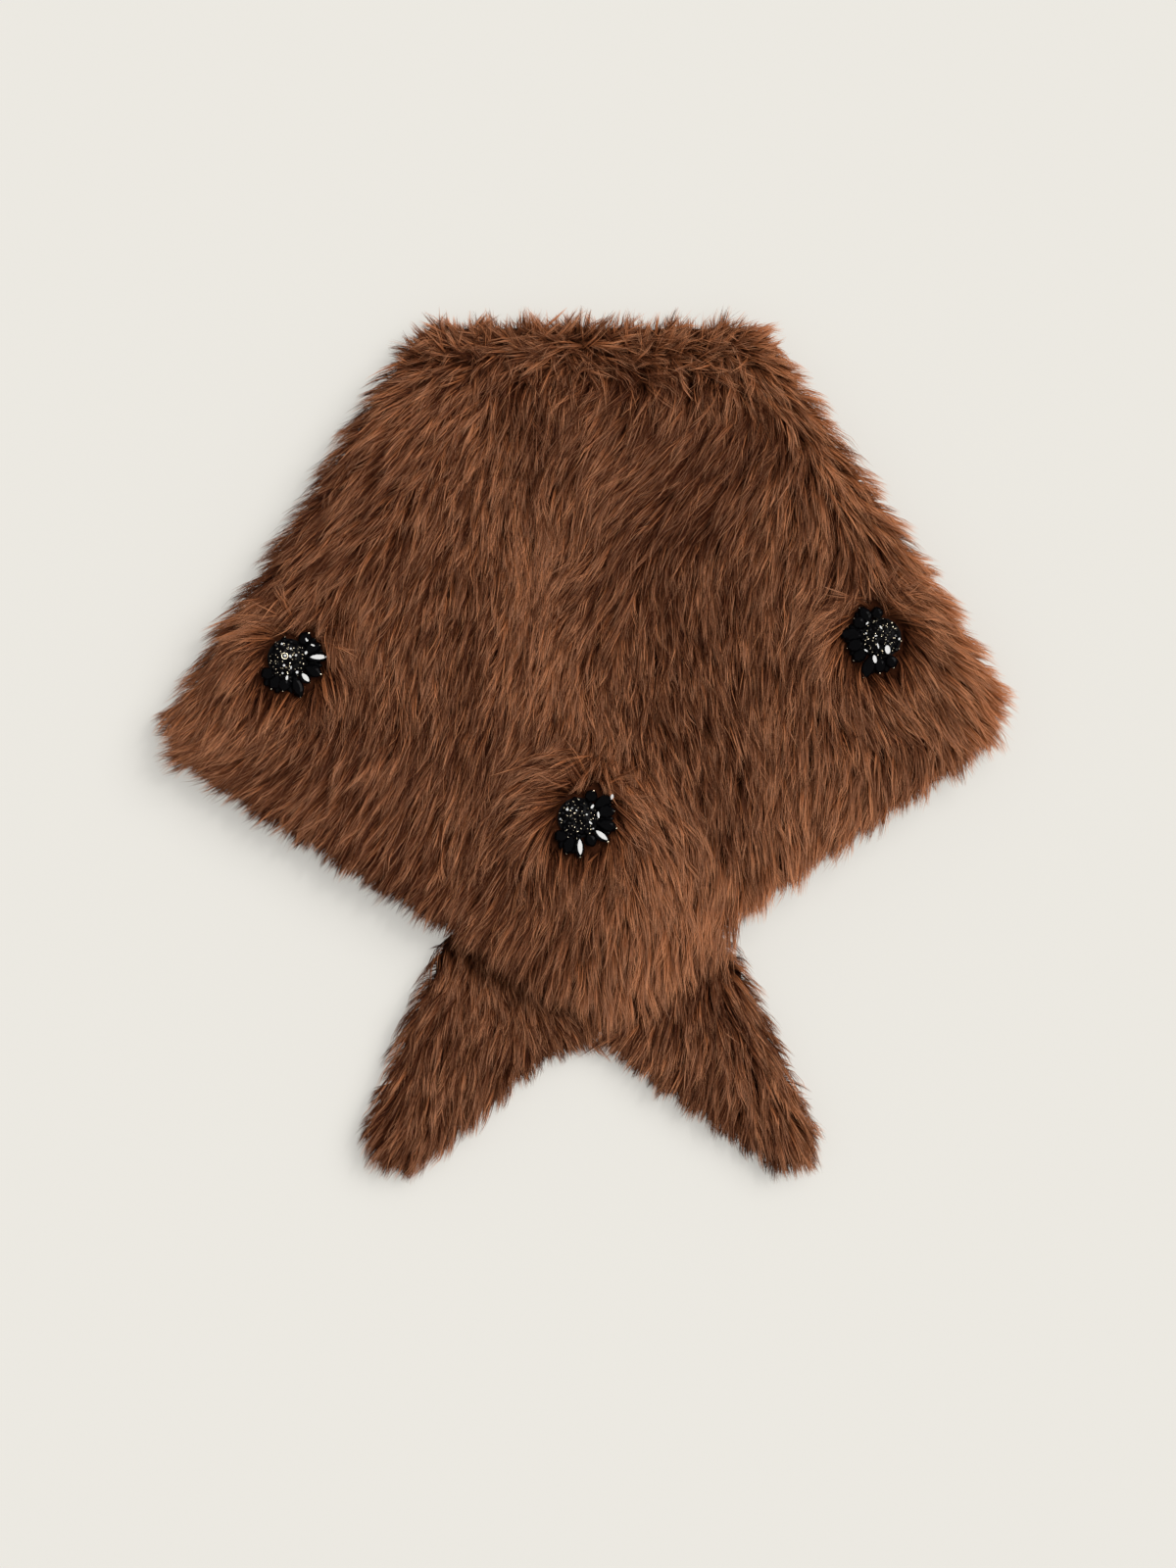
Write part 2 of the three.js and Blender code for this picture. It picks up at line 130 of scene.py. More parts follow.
TABLE_HALF = 12.0
TABLE_COLOUR = linear(180, 179, 175)
GLOW_COLOUR = linear(236, 233, 226)
TABLE_GLOW = 0.40  # the part of its light that comes through it from below
table_mesh = bpy.data.meshes.new("table")
table_corners = [(-1, -1, 0), (1, -1, 0), (1, 1, 0), (-1, 1, 0)]
table_mesh.from_pydata([Vector(c) * TABLE_HALF for c in table_corners], [], [(0, 1, 2, 3)])
table_paint, table_shader = plain_material("pale table", TABLE_COLOUR, 0.9)
table_shader.inputs["Specular IOR Level"].default_value = 0.1
table_shader.inputs["Emission Color"].default_value = GLOW_COLOUR
table_shader.inputs["Emission Strength"].default_value = TABLE_GLOW
table = add_object("table", table_mesh, table_paint)
print("table:", 2 * TABLE_HALF, "m wide")

# %% [markdown]
# ## Light
#
# Soft light comes from one large window, high at the upper right, and from the white room. It suits
# fur, but cut stones need a small bright source before they sparkle. So a narrow lamp shines from the
# same side as the window. It is too weak to harden the shadows much.

# %% Light
SUN_TURN = 30  # from the right-hand side round towards the top of the picture
SUN_HEIGHT = 59
WINDOW = (2.15, 54)  # strength, and how wide the source looks, in degrees
LAMP = (0.55, 4.5)
SKY = 0.36
DAYLIGHT = (1.0, 0.985, 0.96)
ROOM_WHITE = (1.0, 0.985, 0.965, 1.0)

height = math.radians(SUN_HEIGHT)
turn = math.radians(SUN_TURN)
from_sun = Vector((math.cos(height) * math.cos(turn), math.cos(height) * math.sin(turn), math.sin(height)))
for name, (strength, spread) in (("window", WINDOW), ("lamp", LAMP)):
    light_data = bpy.data.lights.new(name, "SUN")
    light_data.energy = strength
    light_data.angle = math.radians(spread)
    light_data.color = DAYLIGHT
    light_object = bpy.data.objects.new(name, light_data)
    light_object.rotation_euler = from_sun.to_track_quat("Z", "Y").to_euler()
    bpy.context.scene.collection.objects.link(light_object)

world = bpy.data.worlds.new("room")
world.use_nodes = True
world.node_tree.nodes["Background"].inputs["Color"].default_value = ROOM_WHITE
world.node_tree.nodes["Background"].inputs["Strength"].default_value = SKY
bpy.context.scene.world = world
bpy.context.scene.view_settings.view_transform = "Standard"
sun_side = Vector((math.cos(turn), math.sin(turn), 0))
print("light from", [round(v, 2) for v in from_sun])

# %% [markdown]
# ## The cloth inside the fur
#
# Fur cloth is a knitted backing with pile tufted through it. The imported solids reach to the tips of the
# pile, so the cloth lies well inside them. Each solid is copied, meshed evenly, and its skin is drawn in
# by the depth of the pile. Where it rests on something the pile is crushed, and the cloth hardly moves.

# %% A solid as small squares
VOXEL = 5.5 * MM


def points_of(mesh):
    flat = np.empty(len(mesh.vertices) * 3)
    mesh.vertices.foreach_get("co", flat)
    return flat.reshape(-1, 3)


def normals_of(mesh):
    flat = np.empty(len(mesh.vertices) * 3)
    mesh.vertex_normals.foreach_get("vector", flat)
    return flat.reshape(-1, 3)


def evenly_meshed(node, name):
    """A closed copy of a solid, meshed in small equal squares."""
    copy = add_object(name, frame["nodes"][node].data.copy())
    copy.data.materials.clear()
    remesh = copy.modifiers.new("even", "REMESH")
    remesh.mode = "VOXEL"
    remesh.voxel_size = VOXEL
    seen = copy.evaluated_get(bpy.context.evaluated_depsgraph_get())
    even = bpy.data.meshes.new_from_object(seen)
    copy.modifiers.clear()
    copy.data = even
    even.name = name
    return copy


print("squares of", round(VOXEL / MM, 1), "mm")

# %% Cloth drawn in from a solid
PILE_DEPTH = 9 * MM
CRUSHED = 1 * MM
CRUSHED_AT = -0.55  # a skin whose normal points up less than this rests on something
FREE_OVER = 0.5  # and over this much more it comes free
MOTIFS = ("left", "middle", "right")


def motif_place(side):
    """The middle of a motif's backing plate, and the level that it lies on."""
    low, high = (Vector(v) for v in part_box(f"motif_{side}_plate"))
    return np.array([(low.x + high.x) / 2, (low.y + high.y) / 2, low.z])


HOLLOW_REACH = 44 * MM
HOLLOW_DEPTH = 4 * MM  # how far under a plate the skin is still the floor of its hollow
UNDER_PLATE = 0.6 * MM
OFF_TABLE = 0.3 * MM


def draw_in(cloth, depth, crushed):
    """Moves a skin inwards, and keeps the floor of each motif's hollow where it is."""
    mesh = cloth.data
    points = points_of(mesh)
    normals = normals_of(mesh)
    upward = np.clip((normals[:, 2] - CRUSHED_AT) / FREE_OVER, 0, 1)[:, None]
    moved = points - normals * (crushed + (depth - crushed) * upward)
    for side in MOTIFS:
        place = motif_place(side)
        near = np.hypot(*(points[:, :2] - place[:2]).T) < HOLLOW_REACH
        top = near & (points[:, 2] > place[2] - HOLLOW_DEPTH)
        level = np.minimum(points[top, 2], place[2] - UNDER_PLATE)
        moved[top, :2] = points[top, :2]
        moved[top, 2] = np.maximum(moved[top, 2], level)
    moved[:, 2] = np.maximum(moved[:, 2], OFF_TABLE)
    mesh.vertices.foreach_set("co", moved.ravel())
    mesh.update()
    mesh.polygons.foreach_set("use_smooth", [True] * len(mesh.polygons))
    return cloth


print("the cloth lies", round(PILE_DEPTH / MM, 1), "mm inside a solid where the pile is free")

# %% [markdown]
# ## The colour of the pile
#
# Each hair is dark at its root, chestnut along its length and paler at its tip, and no two locks are
# quite alike. A hair is narrow, so two numbers say its colour anywhere: how light that hair is, and how
# far along it we are. They are stored as a UV map, and the material turns them into a colour.

# %% Colour ramps and grain
MATT = 0.05


def ramp(nodes, *stops):
    """A colour ramp through (place, colour) pairs, the first at 0 and the last at 1."""
    node = nodes.new("ShaderNodeValToRGB")
    marks = node.color_ramp.elements
    marks[0].color = stops[0][1]
    marks[1].color = stops[-1][1]
    for place, colour in stops[1:-1]:
        marks.new(place).color = colour
    return node


def with_grain(material, shader, scale, shades, depth, strength=0.3, detail=3, roughness=None):
    """A fine grain, in which shade, height and, where it is given, roughness vary together."""
    nodes = material.node_tree.nodes
    links = material.node_tree.links
    place = nodes.new("ShaderNodeTexCoord")
    grain = nodes.new("ShaderNodeTexNoise")
    grain.inputs["Scale"].default_value = scale
    grain.inputs["Detail"].default_value = detail
    colours = ramp(nodes, (0, shades[0]), (1, shades[1]))
    bump = nodes.new("ShaderNodeBump")
    bump.inputs["Strength"].default_value = strength
    bump.inputs["Distance"].default_value = depth
    links.new(place.outputs["Object"], grain.inputs["Vector"])
    links.new(grain.outputs["Fac"], colours.inputs["Fac"])
    links.new(colours.outputs["Color"], shader.inputs["Base Color"])
    links.new(grain.outputs["Fac"], bump.inputs["Height"])
    links.new(bump.outputs["Normal"], shader.inputs["Normal"])
    if roughness:
        rough = nodes.new("ShaderNodeMapRange")
        rough.inputs["To Min"].default_value = roughness[0]
        rough.inputs["To Max"].default_value = roughness[1]
        links.new(grain.outputs["Fac"], rough.inputs["Value"])
        links.new(rough.outputs["Result"], shader.inputs["Roughness"])


# The cloth between the hairs has a knitted grain
BACKING, backing_shader = plain_material("brown backing", linear(52, 26, 14), 0.95)
backing_shader.inputs["Specular IOR Level"].default_value = MATT
with_grain(BACKING, backing_shader, 420, (linear(30, 13, 5), linear(70, 36, 20)), 1 * MM, 0.6, 4)
print("backing made")

# %% The pile's material
ROOT_COLOUR = linear(42, 17, 6)
LENGTH_COLOUR = linear(115, 66, 40)
TIP_COLOUR = linear(159, 108, 79)
LENGTH_AT = 0.52  # how far along a hair its length's colour is purest
# How much red, green and blue light a hair sends back, against the usual hair
DARKEST = (0.17, 0.095, 0.042, 1)
USUAL = (1, 1, 1, 1)
# The lighter hairs are also greyer: partly their own paler colour, partly a painted sheen, since the pile is
# made almost without shine
LIGHTER = (1.58, 1.86, 2.12, 1)
LIGHTEST = (2.45, 2.6, 2.5, 1)


def fur_material():
    material, shader = plain_material("brown pile", LENGTH_COLOUR, 0.5)
    nodes = material.node_tree.nodes
    links = material.node_tree.links
    place = nodes.new("ShaderNodeUVMap")
    place.uv_map = "OFBake"
    split = nodes.new("ShaderNodeSeparateXYZ")
    along = ramp(nodes, (0, ROOT_COLOUR), (LENGTH_AT, LENGTH_COLOUR), (1, TIP_COLOUR))
    lightness = ramp(nodes, (0, DARKEST), (0.5, USUAL), (0.7, LIGHTER), (1, LIGHTEST))
    mixed = nodes.new("ShaderNodeMix")
    mixed.data_type = "RGBA"
    mixed.blend_type = "MULTIPLY"
    mixed.inputs["Factor"].default_value = 1.0
    links.new(place.outputs["UV"], split.inputs["Vector"])
    links.new(split.outputs["Y"], along.inputs["Fac"])
    links.new(split.outputs["X"], lightness.inputs["Fac"])
    links.new(along.outputs["Color"], mixed.inputs["A"])
    links.new(lightness.outputs["Color"], mixed.inputs["B"])
    links.new(mixed.outputs["Result"], shader.inputs["Base Color"])
    shader.inputs["Specular IOR Level"].default_value = MATT
    return material


PILE = fur_material()
print("pile made")

# %% [markdown]
# ## Four stretches of cloth
#
# The wrap is one piece, but folded it shows as four stretches: the front, the two ends, and the layers
# between the front and the table. Each stretch gets its own cloth. The hidden one is pressed thin, so its
# pile is short.

# %% Make the four cloths
CLOTHS = {  # each one's solid, and the depth of its pile where it is free and where it is crushed
    "front_cloth": ("front_panel", PILE_DEPTH, CRUSHED),
    "hidden_cloth": ("hidden_layers", 4 * MM, 0.4 * MM),
    "left_end_cloth": ("left_end", PILE_DEPTH, CRUSHED),
    "right_end_cloth": ("right_end", PILE_DEPTH, CRUSHED),
}
cloths = {}
for name, (node, depth, crushed) in CLOTHS.items():
    cloth = draw_in(evenly_meshed(node, name), depth, crushed)
    cloth.data.materials.append(BACKING)
    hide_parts(node)
    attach(cloth, "root")
    cloths[name] = cloth
    print(name, len(cloth.data.polygons), "faces")

# %% [markdown]
# ## How the pile lies
#
# Pile has a lie, as a cat's coat has. On this wrap it runs down from the neck edge, out towards both
# folds, and swirls where it has been handled. The table gives the lie at listed places, in degrees from
# straight down the wrap, with plus to the right. Between them the nearest rows are blended.

# %% The lie of the pile
# Height on the wrap in millimetres: then pairs of place across it and the lie there, in degrees
LIE_ROWS = {
    285: ((-112, 215), (-80, 175), (-45, 160), (-10, 185), (25, 165), (60, 190), (95, 170), (122, 125)),
    276: ((-75, 170), (-35, 165), (-12, 182), (12, 175), (40, 168), (75, 180)),
    265: ((-115, -85), (-85, -80), (-55, -85), (-28, -70), (-15, -25), (-2, 25), (12, 75), (45, 95), (75, 85),
          (105, 70), (130, 75)),
    246: ((-118, -50), (-80, -30), (-50, -10), (-15, -5), (15, -35), (55, -15), (95, -10), (115, 25),
          (140, 60)),
    208: ((-145, -40), (-105, -45), (-80, -22), (-42, -10), (0, -25), (25, -20), (55, -42), (95, -32),
          (125, -15), (150, 30), (170, 60)),
    188: ((36, -60), (60, -52), (85, -35), (134, -13), (186, 65)),
    165: ((-175, -38), (-140, -45), (-100, -25), (-60, -10), (-40, 0), (0, -16), (25, -33), (75, -22),
          (114, -18), (145, 5), (175, 35), (198, 60)),
    130: ((-198, -36), (-160, -38), (-120, -24), (-60, -10), (-40, -7), (-3, -35), (17, -40), (36, -27),
          (56, -5), (95, 0), (134, -8), (173, -7), (192, 22), (220, 62)),
    98: ((-218, -38), (-175, -32), (-140, -25), (-100, -14), (-60, -27), (-40, -18), (-3, -35), (17, -32),
         (45, -5), (62, 10), (95, 0), (134, -3), (165, -25), (240, 60)),
    65: ((-240, -34), (-150, -10), (-115, -5), (-80, -18), (-50, -25), (-10, -15), (36, 12), (75, 10),
         (114, -5), (150, -15), (255, 55)),
    30: ((-260, -40), (-225, -30), (-150, -12), (-110, -8), (-60, -8), (-22, -12), (17, 3), (56, 15),
         (95, 13), (134, -5), (173, 15), (212, 27), (251, 40), (285, 70)),
    -6: ((-275, -85), (-240, -62), (-215, -48), (-180, -30), (-140, -25), (-100, -20), (-60, -14),
         (-40, -25), (-15, -42), (20, -10), (45, 13), (95, 5), (134, -2), (180, -10), (215, -5), (255, 15)),
    -45: ((-200, -45), (-165, -34), (-130, -28), (-80, -25), (-42, -40), (36, 25), (56, 20), (95, 5),
          (134, 3), (173, -10), (200, -15)),
    -85: ((-125, -38), (-90, -28), (-60, -30), (-30, -12), (0, -2), (36, 12), (60, 12), (95, -2), (130, -15)),
    -122: ((-80, -33), (-50, -25), (-22, -15), (5, -5), (36, -3), (70, 2), (92, -10)),
    -152: ((-22, -14), (10, 5), (45, 8)),
}
END_LIE_ROWS = {
    -165: ((-97, -25), (-80, -12), (-55, -5), (-6, 30), (26, -35), (50, 0), (70, -5), (97, 20)),
    -185: ((-10, 35), (26, -40)),
    -200: ((-122, -28), (-98, -15), (-75, -6), (-50, -12), (-30, 5), (24, -25), (60, -20), (85, -12),
           (114, 20), (135, 40)),
    -230: ((-138, -30), (-105, -18), (-80, -12), (-60, -25), (75, -15), (95, -8), (114, 5), (136, 28)),
    -265: ((-155, -28), (-140, -25), (-115, -28), (-95, -30), (120, 3), (145, 22), (168, 32)),
}
LIE_SOFTNESS = 14.0 * MM
LIE_FALLOFF = 2.2  # the greater, the more the nearest row decides
SWIRL_RADIUS = 20 * MM
PUSH_OUT = 1.3  # how strongly a motif presses the pile outwards
PUSH_FADE = 9 * MM


def lie_table(rows):
    """The rows as places and level unit vectors."""
    flat = np.array([(x, y, lean) for y, row in rows.items() for x, lean in row], dtype=float)
    lean = np.radians(flat[:, 2])
    return flat[:, :2] * MM, np.stack([np.sin(lean), -np.cos(lean)], axis=1)


def lie_of(points, rows):
    """The way the pile lies at each point, parted round the motifs, and how well the rows agree."""
    places, ways = lie_table(rows)
    gap = points[:, None, :2] - places[None]
    weight = (np.sum(gap**2, axis=2) + LIE_SOFTNESS**2) ** -LIE_FALLOFF
    mean = (weight @ ways) / weight.sum(axis=1)[:, None]
    agreed = np.linalg.norm(mean, axis=1)
    mean /= agreed[:, None] + 1e-12
    for side in MOTIFS:
        out = points[:, :2] - motif_place(side)[:2]
        gap = np.linalg.norm(out, axis=1)[:, None] + 1e-9
        out = out / gap
        squeeze = np.minimum((SWIRL_RADIUS / gap) ** 2, 1.0)
        against = np.sum(mean * out, axis=1)[:, None]
        mean = mean + squeeze * (mean - 2 * against * out)
        mean = mean + out * PUSH_OUT * np.exp(-np.maximum(gap - SWIRL_RADIUS, 0) / PUSH_FADE)
        mean /= np.linalg.norm(mean, axis=1)[:, None] + 1e-12
    return np.column_stack([mean, np.zeros(len(mean))]), agreed


print("lie of the pile: rows", len(LIE_ROWS), "and", len(END_LIE_ROWS))

# %% [markdown]
# ## Locks, tufts and strands
#
# Long pile doesn't lie as single hairs. Skin oil and static draw hairs together into locks that taper
# to a point, and each lock is split into a few finer tufts. So three sets of points are scattered over
# the cloth: a few lock centres, more tuft centres, and many hair roots. A hair follows its lock's path,
# and closes in on its tuft towards the tip.

# %% Scatter points over a cloth
def scatter(cloth, count, share):
    """Random points on a cloth with their normals, evenly spread where share is 1."""
    mesh = cloth.data
    points = points_of(mesh)
    normals = normals_of(mesh)
    mesh.calc_loop_triangles()
    corners = np.empty(len(mesh.loop_triangles) * 3, dtype=np.int32)
    mesh.loop_triangles.foreach_get("vertices", corners)
    corners = corners.reshape(-1, 3)
    a, b, c = (points[corners[:, i]] for i in range(3))
    area = np.linalg.norm(np.cross(b - a, c - a), axis=1) / 2
    middle = (a + b + c) / 3
    facing = normals[corners].mean(axis=1)
    weight = area * share(middle, facing)
    pick = rng.choice(len(area), count, p=weight / weight.sum())
    u = np.sqrt(rng.random(count))
    v = rng.random(count)
    mix = np.stack([1 - u, u * (1 - v), u * v], axis=1)[:, :, None]
    where = np.sum(points[corners[pick]] * mix, axis=1)
    facing = np.sum(normals[corners[pick]] * mix, axis=1)
    return where, facing / np.linalg.norm(facing, axis=1)[:, None]


def nearest(points, centres):
    """For each point, the number of the nearest centre."""
    tree = KDTree(len(centres))
    for i, centre in enumerate(centres):
        tree.insert(centre, i)
    tree.balance()
    return np.array([tree.find(p)[1] for p in points])


to_cover = sum(p.area for cloth in cloths.values() for p in cloth.data.polygons)
print("cloth in all:", round(to_cover, 3), "square metres")

# %% Where the pile is uneven
NECK_RIDGE = 263 * MM  # where the pile parts along the neck edge, and lies every way
RIDGE_WIDTH = 11 * MM
MOTIF_FALLOFF = 34 * MM


def wandering(points, size, seed):
    """A smooth random number from -1 to 1 at each point, which changes over the given size."""
    shift = Vector((seed * 17.3, seed * 5.1, 0))  # so that each seed reads another part of the noise
    return np.array([noise.noise(Vector(p) / size + shift) for p in points])


def near_ridge(points):
    """1 on the neck ridge, falling to 0 a centimetre or two from it."""
    return np.exp(-(((points[:, 1] - NECK_RIDGE) / RIDGE_WIDTH) ** 2))


def near_motif(points):
    """1 beside a motif, falling to 0 about four centimetres from its middle."""
    near = np.zeros(len(points))
    for side in MOTIFS:
        gap = np.hypot(*(points[:, :2] - motif_place(side)[:2]).T)
        near = np.maximum(near, np.exp(-((gap / MOTIF_FALLOFF) ** 4)))
    return near


print("neck ridge at", round(NECK_RIDGE / MM), "mm")

# %% The path of a lock
STEPS = 3
RISE = np.array([0.66, 0.30, 0.02])  # how much each step of a lock leaves the cloth
ALONG = np.array([0.75, 0.95, 1.0])  # and how much it follows the lie
SWAY = 14  # how far whole patches of pile are turned, in degrees
SWAY_SIZE = 40 * MM
MESS = 6.5  # how unevenly the locks lie, in degrees
TORN = 70  # how much more so where the rows of the table disagree
RIDGE_MESS = 34  # and on the neck ridge
UNEVEN = 0.18  # how much the locks differ in rise and in bend
SIDE_LIFT = 0.5  # on an upright side of the cloth a lock stands out more
SIDE_DROOP = 0.2  # and then hangs down


def lock_paths(roots, facing, length, rows):
    """Paths of STEPS + 1 points, which leave the cloth and lie over along the pile."""
    count = len(roots)
    along, agreed = lie_of(roots, rows)
    mess = MESS + TORN * (1 - agreed) ** 1.5 + RIDGE_MESS * near_ridge(roots)
    swing = np.radians(SWAY * wandering(roots, SWAY_SIZE, 1) + mess * rng.normal(size=count))
    turned = np.stack([
        along[:, 0] * np.cos(swing) - along[:, 1] * np.sin(swing),
        along[:, 0] * np.sin(swing) + along[:, 1] * np.cos(swing),
        np.zeros(count),
    ], axis=1)
    inward = np.minimum(np.sum(turned * facing, axis=1), 0)[:, None]
    level = turned - facing * inward
    side = np.cross(facing, level)
    lift = np.clip(1 + UNEVEN * rng.normal(size=count), 0.5, 1.6)
    bend = UNEVEN * rng.normal(size=count)
    steep = 1 - np.clip(facing[:, 2], 0, 1)
    path = [roots]
    for k in range(STEPS):
        way = facing * (RISE[k] * lift + SIDE_LIFT * steep)[:, None] + level * ALONG[k]
        way += side * (bend * (k - 1))[:, None]
        way[:, 2] -= SIDE_DROOP * steep * k / STEPS
        way /= np.linalg.norm(way, axis=1)[:, None]
        path.append(path[-1] + way * (length / STEPS)[:, None])
    return np.stack(path, axis=1)


print("a lock's steps rise by", np.degrees(np.arctan2(RISE, ALONG)).round(), "degrees")

# %% [markdown]
# ## Keep the hairs where hairs can be
#
# A hair can't pass through the table, it ends about where the solid's outline ends, and it doesn't lie
# across the stones. A hair that would do so is drawn shorter, which is what trimming does to real pile.

# %% Trim the hairs
LEAST_LEFT = 0.15  # of a path, each time that it is drawn shorter
PULLED_BACK = 12 * MM  # how unevenly the locks at an edge end inside it


def flattened(*nodes):
    """A search tree of solids pressed flat, to tell how far a place is from their outline."""
    corners = []
    faces = []
    for node in nodes:
        mesh = frame["nodes"][node].data
        start = len(corners)
        corners += [(v.co.x, v.co.y, 0) for v in mesh.vertices]
        faces += [[start + i for i in p.vertices] for p in mesh.polygons]
    return BVHTree.FromPolygons(corners, faces)


def outside(tree, points):
    """How far each point is from the flattened solids, seen from above."""
    return np.array([tree.find_nearest((p[0], p[1], 0))[3] for p in points])


def shortened(path, factor):
    return path[:, :1] + (path - path[:, :1]) * factor[:, None, None]


def trim_to_outline(path, tree, allowed):
    """Draws paths shorter until their tips are outside the outline by no more than is allowed."""
    for _ in range(3):
        over = outside(tree, path[:, -1]) - np.maximum(allowed, 0)
        reach = np.linalg.norm(path[:, -1, :2] - path[:, 0, :2], axis=1) + 1e-6
        factor = np.where(over > 0, np.clip(1 - over / reach, LEAST_LEFT, 1), 1)
        path = shortened(path, factor)
    short = np.clip(1 + np.minimum(allowed, 0) / PULLED_BACK, 0.5, 1)
    at_edge = outside(tree, path[:, -1]) > 0
    return shortened(path, np.where(at_edge, short, 1))


print("a path keeps at least", LEAST_LEFT, "of its length")

# %% Keep the hairs off the stones and above the table
TABLE_CLEAR = 0.5 * MM
MOTIF_NODES = {side: [n for n in frame["nodes"] if n.startswith(f"motif_{side}_")] for side in MOTIFS}
MOTIF_REACH = 62 * MM
UNDER_STONES = 1.2 * MM
CLEAR_OF_STONES = 2.0 * MM
RAGGED = 0.3  # of a step, so that the trimmed hairs don't end in a line


def clear_of_motifs(path, light, facing):
    """Drops hairs rooted under a motif, and trims those that lie across it."""
    keep = np.ones(len(path), bool)
    for side in MOTIFS:
        place = motif_place(side)
        tree = flattened(*MOTIF_NODES[side])
        near = np.flatnonzero(np.hypot(*(path[:, 0, :2] - place[:2]).T) < MOTIF_REACH)
        under = outside(tree, path[near, 0]) < UNDER_STONES
        keep[near[under]] = False
        near = near[~under]
        for _ in range(2):
            factor = np.ones(len(near))
            for k in np.arange(STEPS, 0, -0.5):
                after = math.ceil(k)
                spot = path[near, after] + (path[near, after - 1] - path[near, after]) * (after - k)
                across = outside(tree, spot) <= CLEAR_OF_STONES
                factor = np.where(across, (k - 0.5 + RAGGED * rng.random(len(near))) / STEPS, factor)
            path[near] = shortened(path[near], np.clip(factor, 0.1, 1))
    return path[keep], light[keep], facing[keep]


def above_table(path):
    path[:, 1:, 2] = np.maximum(path[:, 1:, 2], TABLE_CLEAR)
    return path


print("solids to keep clear of hair:", {side: len(nodes) for side, nodes in MOTIF_NODES.items()})

# %% [markdown]
# ## A coat of hairs
#
# Now the three sets come together. Each hair starts at its own root, lies over with its lock, and is
# drawn towards its tuft on the way. One hair in six stays loose, and one in four is short underfur.
# Each lock, tuft and hair is a little lighter or darker than the next, as in real fur. Light and shade
# are painted in as well: locks on slopes that face the window are made lighter, for the light that gets
# in between their hairs, and those on slopes that face away darker. The locks on the cloth's upright
# sides are painted a little lighter, and so are those beside a motif, against the shade of its hollow.

# %% How light the hairs are
# From 0 to 1. Each lock, tuft and hair adds a random part of its own
LOCK_LIGHT = 0.35
LOCK_SPREAD = 0.08
TUFT_SPREAD = 0.33
HAIR_SPREAD = 0.21
PATCH_LIGHT = 0.20
PATCH_SIZE = 50 * MM
# Painted light and shade: lighter rims, lighter fur beside a motif against its hollow's shade, lighter slopes
# facing the window, darker ones facing away
RIM_LIGHT = 0.05
MOTIF_LIGHT = 0.10
SUNNY_GAIN = 0.58
SUNNY_MOST = 0.30
SHADY_LOSS = 0.46


def lock_lightness(centres, facing, rim):
    """How light each lock is, with light and shade painted in: lighter facing the window, on upright sides
    and beside a motif, darker facing away.
    """
    sunny = facing @ np.array(sun_side)
    patches = PATCH_LIGHT * wandering(centres, PATCH_SIZE, 5)
    light = LOCK_LIGHT + LOCK_SPREAD * rng.normal(size=len(centres)) + patches
    # Painted light and shade: slopes that face the window lighter, those that face away darker, upright sides
    # and fur beside a motif a little lighter
    lit = np.where(sunny > 0, np.minimum(SUNNY_GAIN * sunny, SUNNY_MOST), SHADY_LOSS * sunny)
    light += RIM_LIGHT * rim + lit
    light += MOTIF_LIGHT * near_motif(centres)
    return light


print("usual lock:", LOCK_LIGHT, "and facing the window up to", round(LOCK_LIGHT + SUNNY_MOST, 2))

# %% Grow the locks
LOCK_SPACING = 3.8 * MM
TOP_SHARE = 0.55  # the part of a cloth's skin that faces up
LENGTH_SPREAD = 0.12
RIDGE_SHORTER = 0.35
PAST_EDGE = 1.5  # how far locks end past the outline, in millimetres
PAST_SPREAD = 3.0
PAST_DRIFT = 2.5
DRIFT_SIZE = 12 * MM


def grow_locks(cloth, share, outline, rows, length, play):
    """Lock centres over a cloth, the way that it faces there, and the locks' paths."""
    area = sum(p.area for p in cloth.data.polygons) * TOP_SHARE
    count = int(area / LOCK_SPACING**2)
    centres, facing = scatter(cloth, count, share)
    lengths = length * np.clip(1 + LENGTH_SPREAD * rng.normal(size=count), 0.6, 1.35)
    lengths *= 1 - RIDGE_SHORTER * near_ridge(centres)
    locks = lock_paths(centres, facing, lengths, rows)
    drift = PAST_DRIFT * MM * wandering(centres, DRIFT_SIZE, 3)
    allowed = (PAST_EDGE + PAST_SPREAD * rng.normal(size=count)) * MM + drift
    return centres, facing, trim_to_outline(locks, outline, allowed * play)


print("a lock for every", round((LOCK_SPACING / MM) ** 2, 1), "square millimetres")

# %% Grow the hairs
TUFTS_IN_LOCK = 4
UNDERFUR = 0.25  # the share of hairs that are short
UNDERFUR_LENGTH = 0.6
HAIR_UNEVEN = 0.14
LOOSE = 0.16  # the share that hardly gather
LOOSE_HOLD = 0.2
GATHER_ON_TOP = 0.25
GATHER_AT_RIM = 0.30  # so much more there
RIM_STARTS = 0.9  # as how far the cloth's normal points up
SMOOTHER = 0.6  # so much less beside a motif
RIDGE_SMOOTHER = 0.8  # the part of that which holds on the neck ridge
TUFT_HOLD = (0.0, 1.2)  # how far apart tufts stay at the tip, and how late they close in
HAIR_HOLD = (0.45, 0.9)
FRIZZ = 0.7 * MM
MOST_RISE = 11 * MM
FURTHEST = 8.5 * MM  # past the outline


def holding(left_at_tip, power):
    """How far apart hairs still are at each step, from 1 at the root to left_at_tip."""
    return 1 - (1 - left_at_tip) * (np.arange(STEPS + 1) / STEPS) ** power


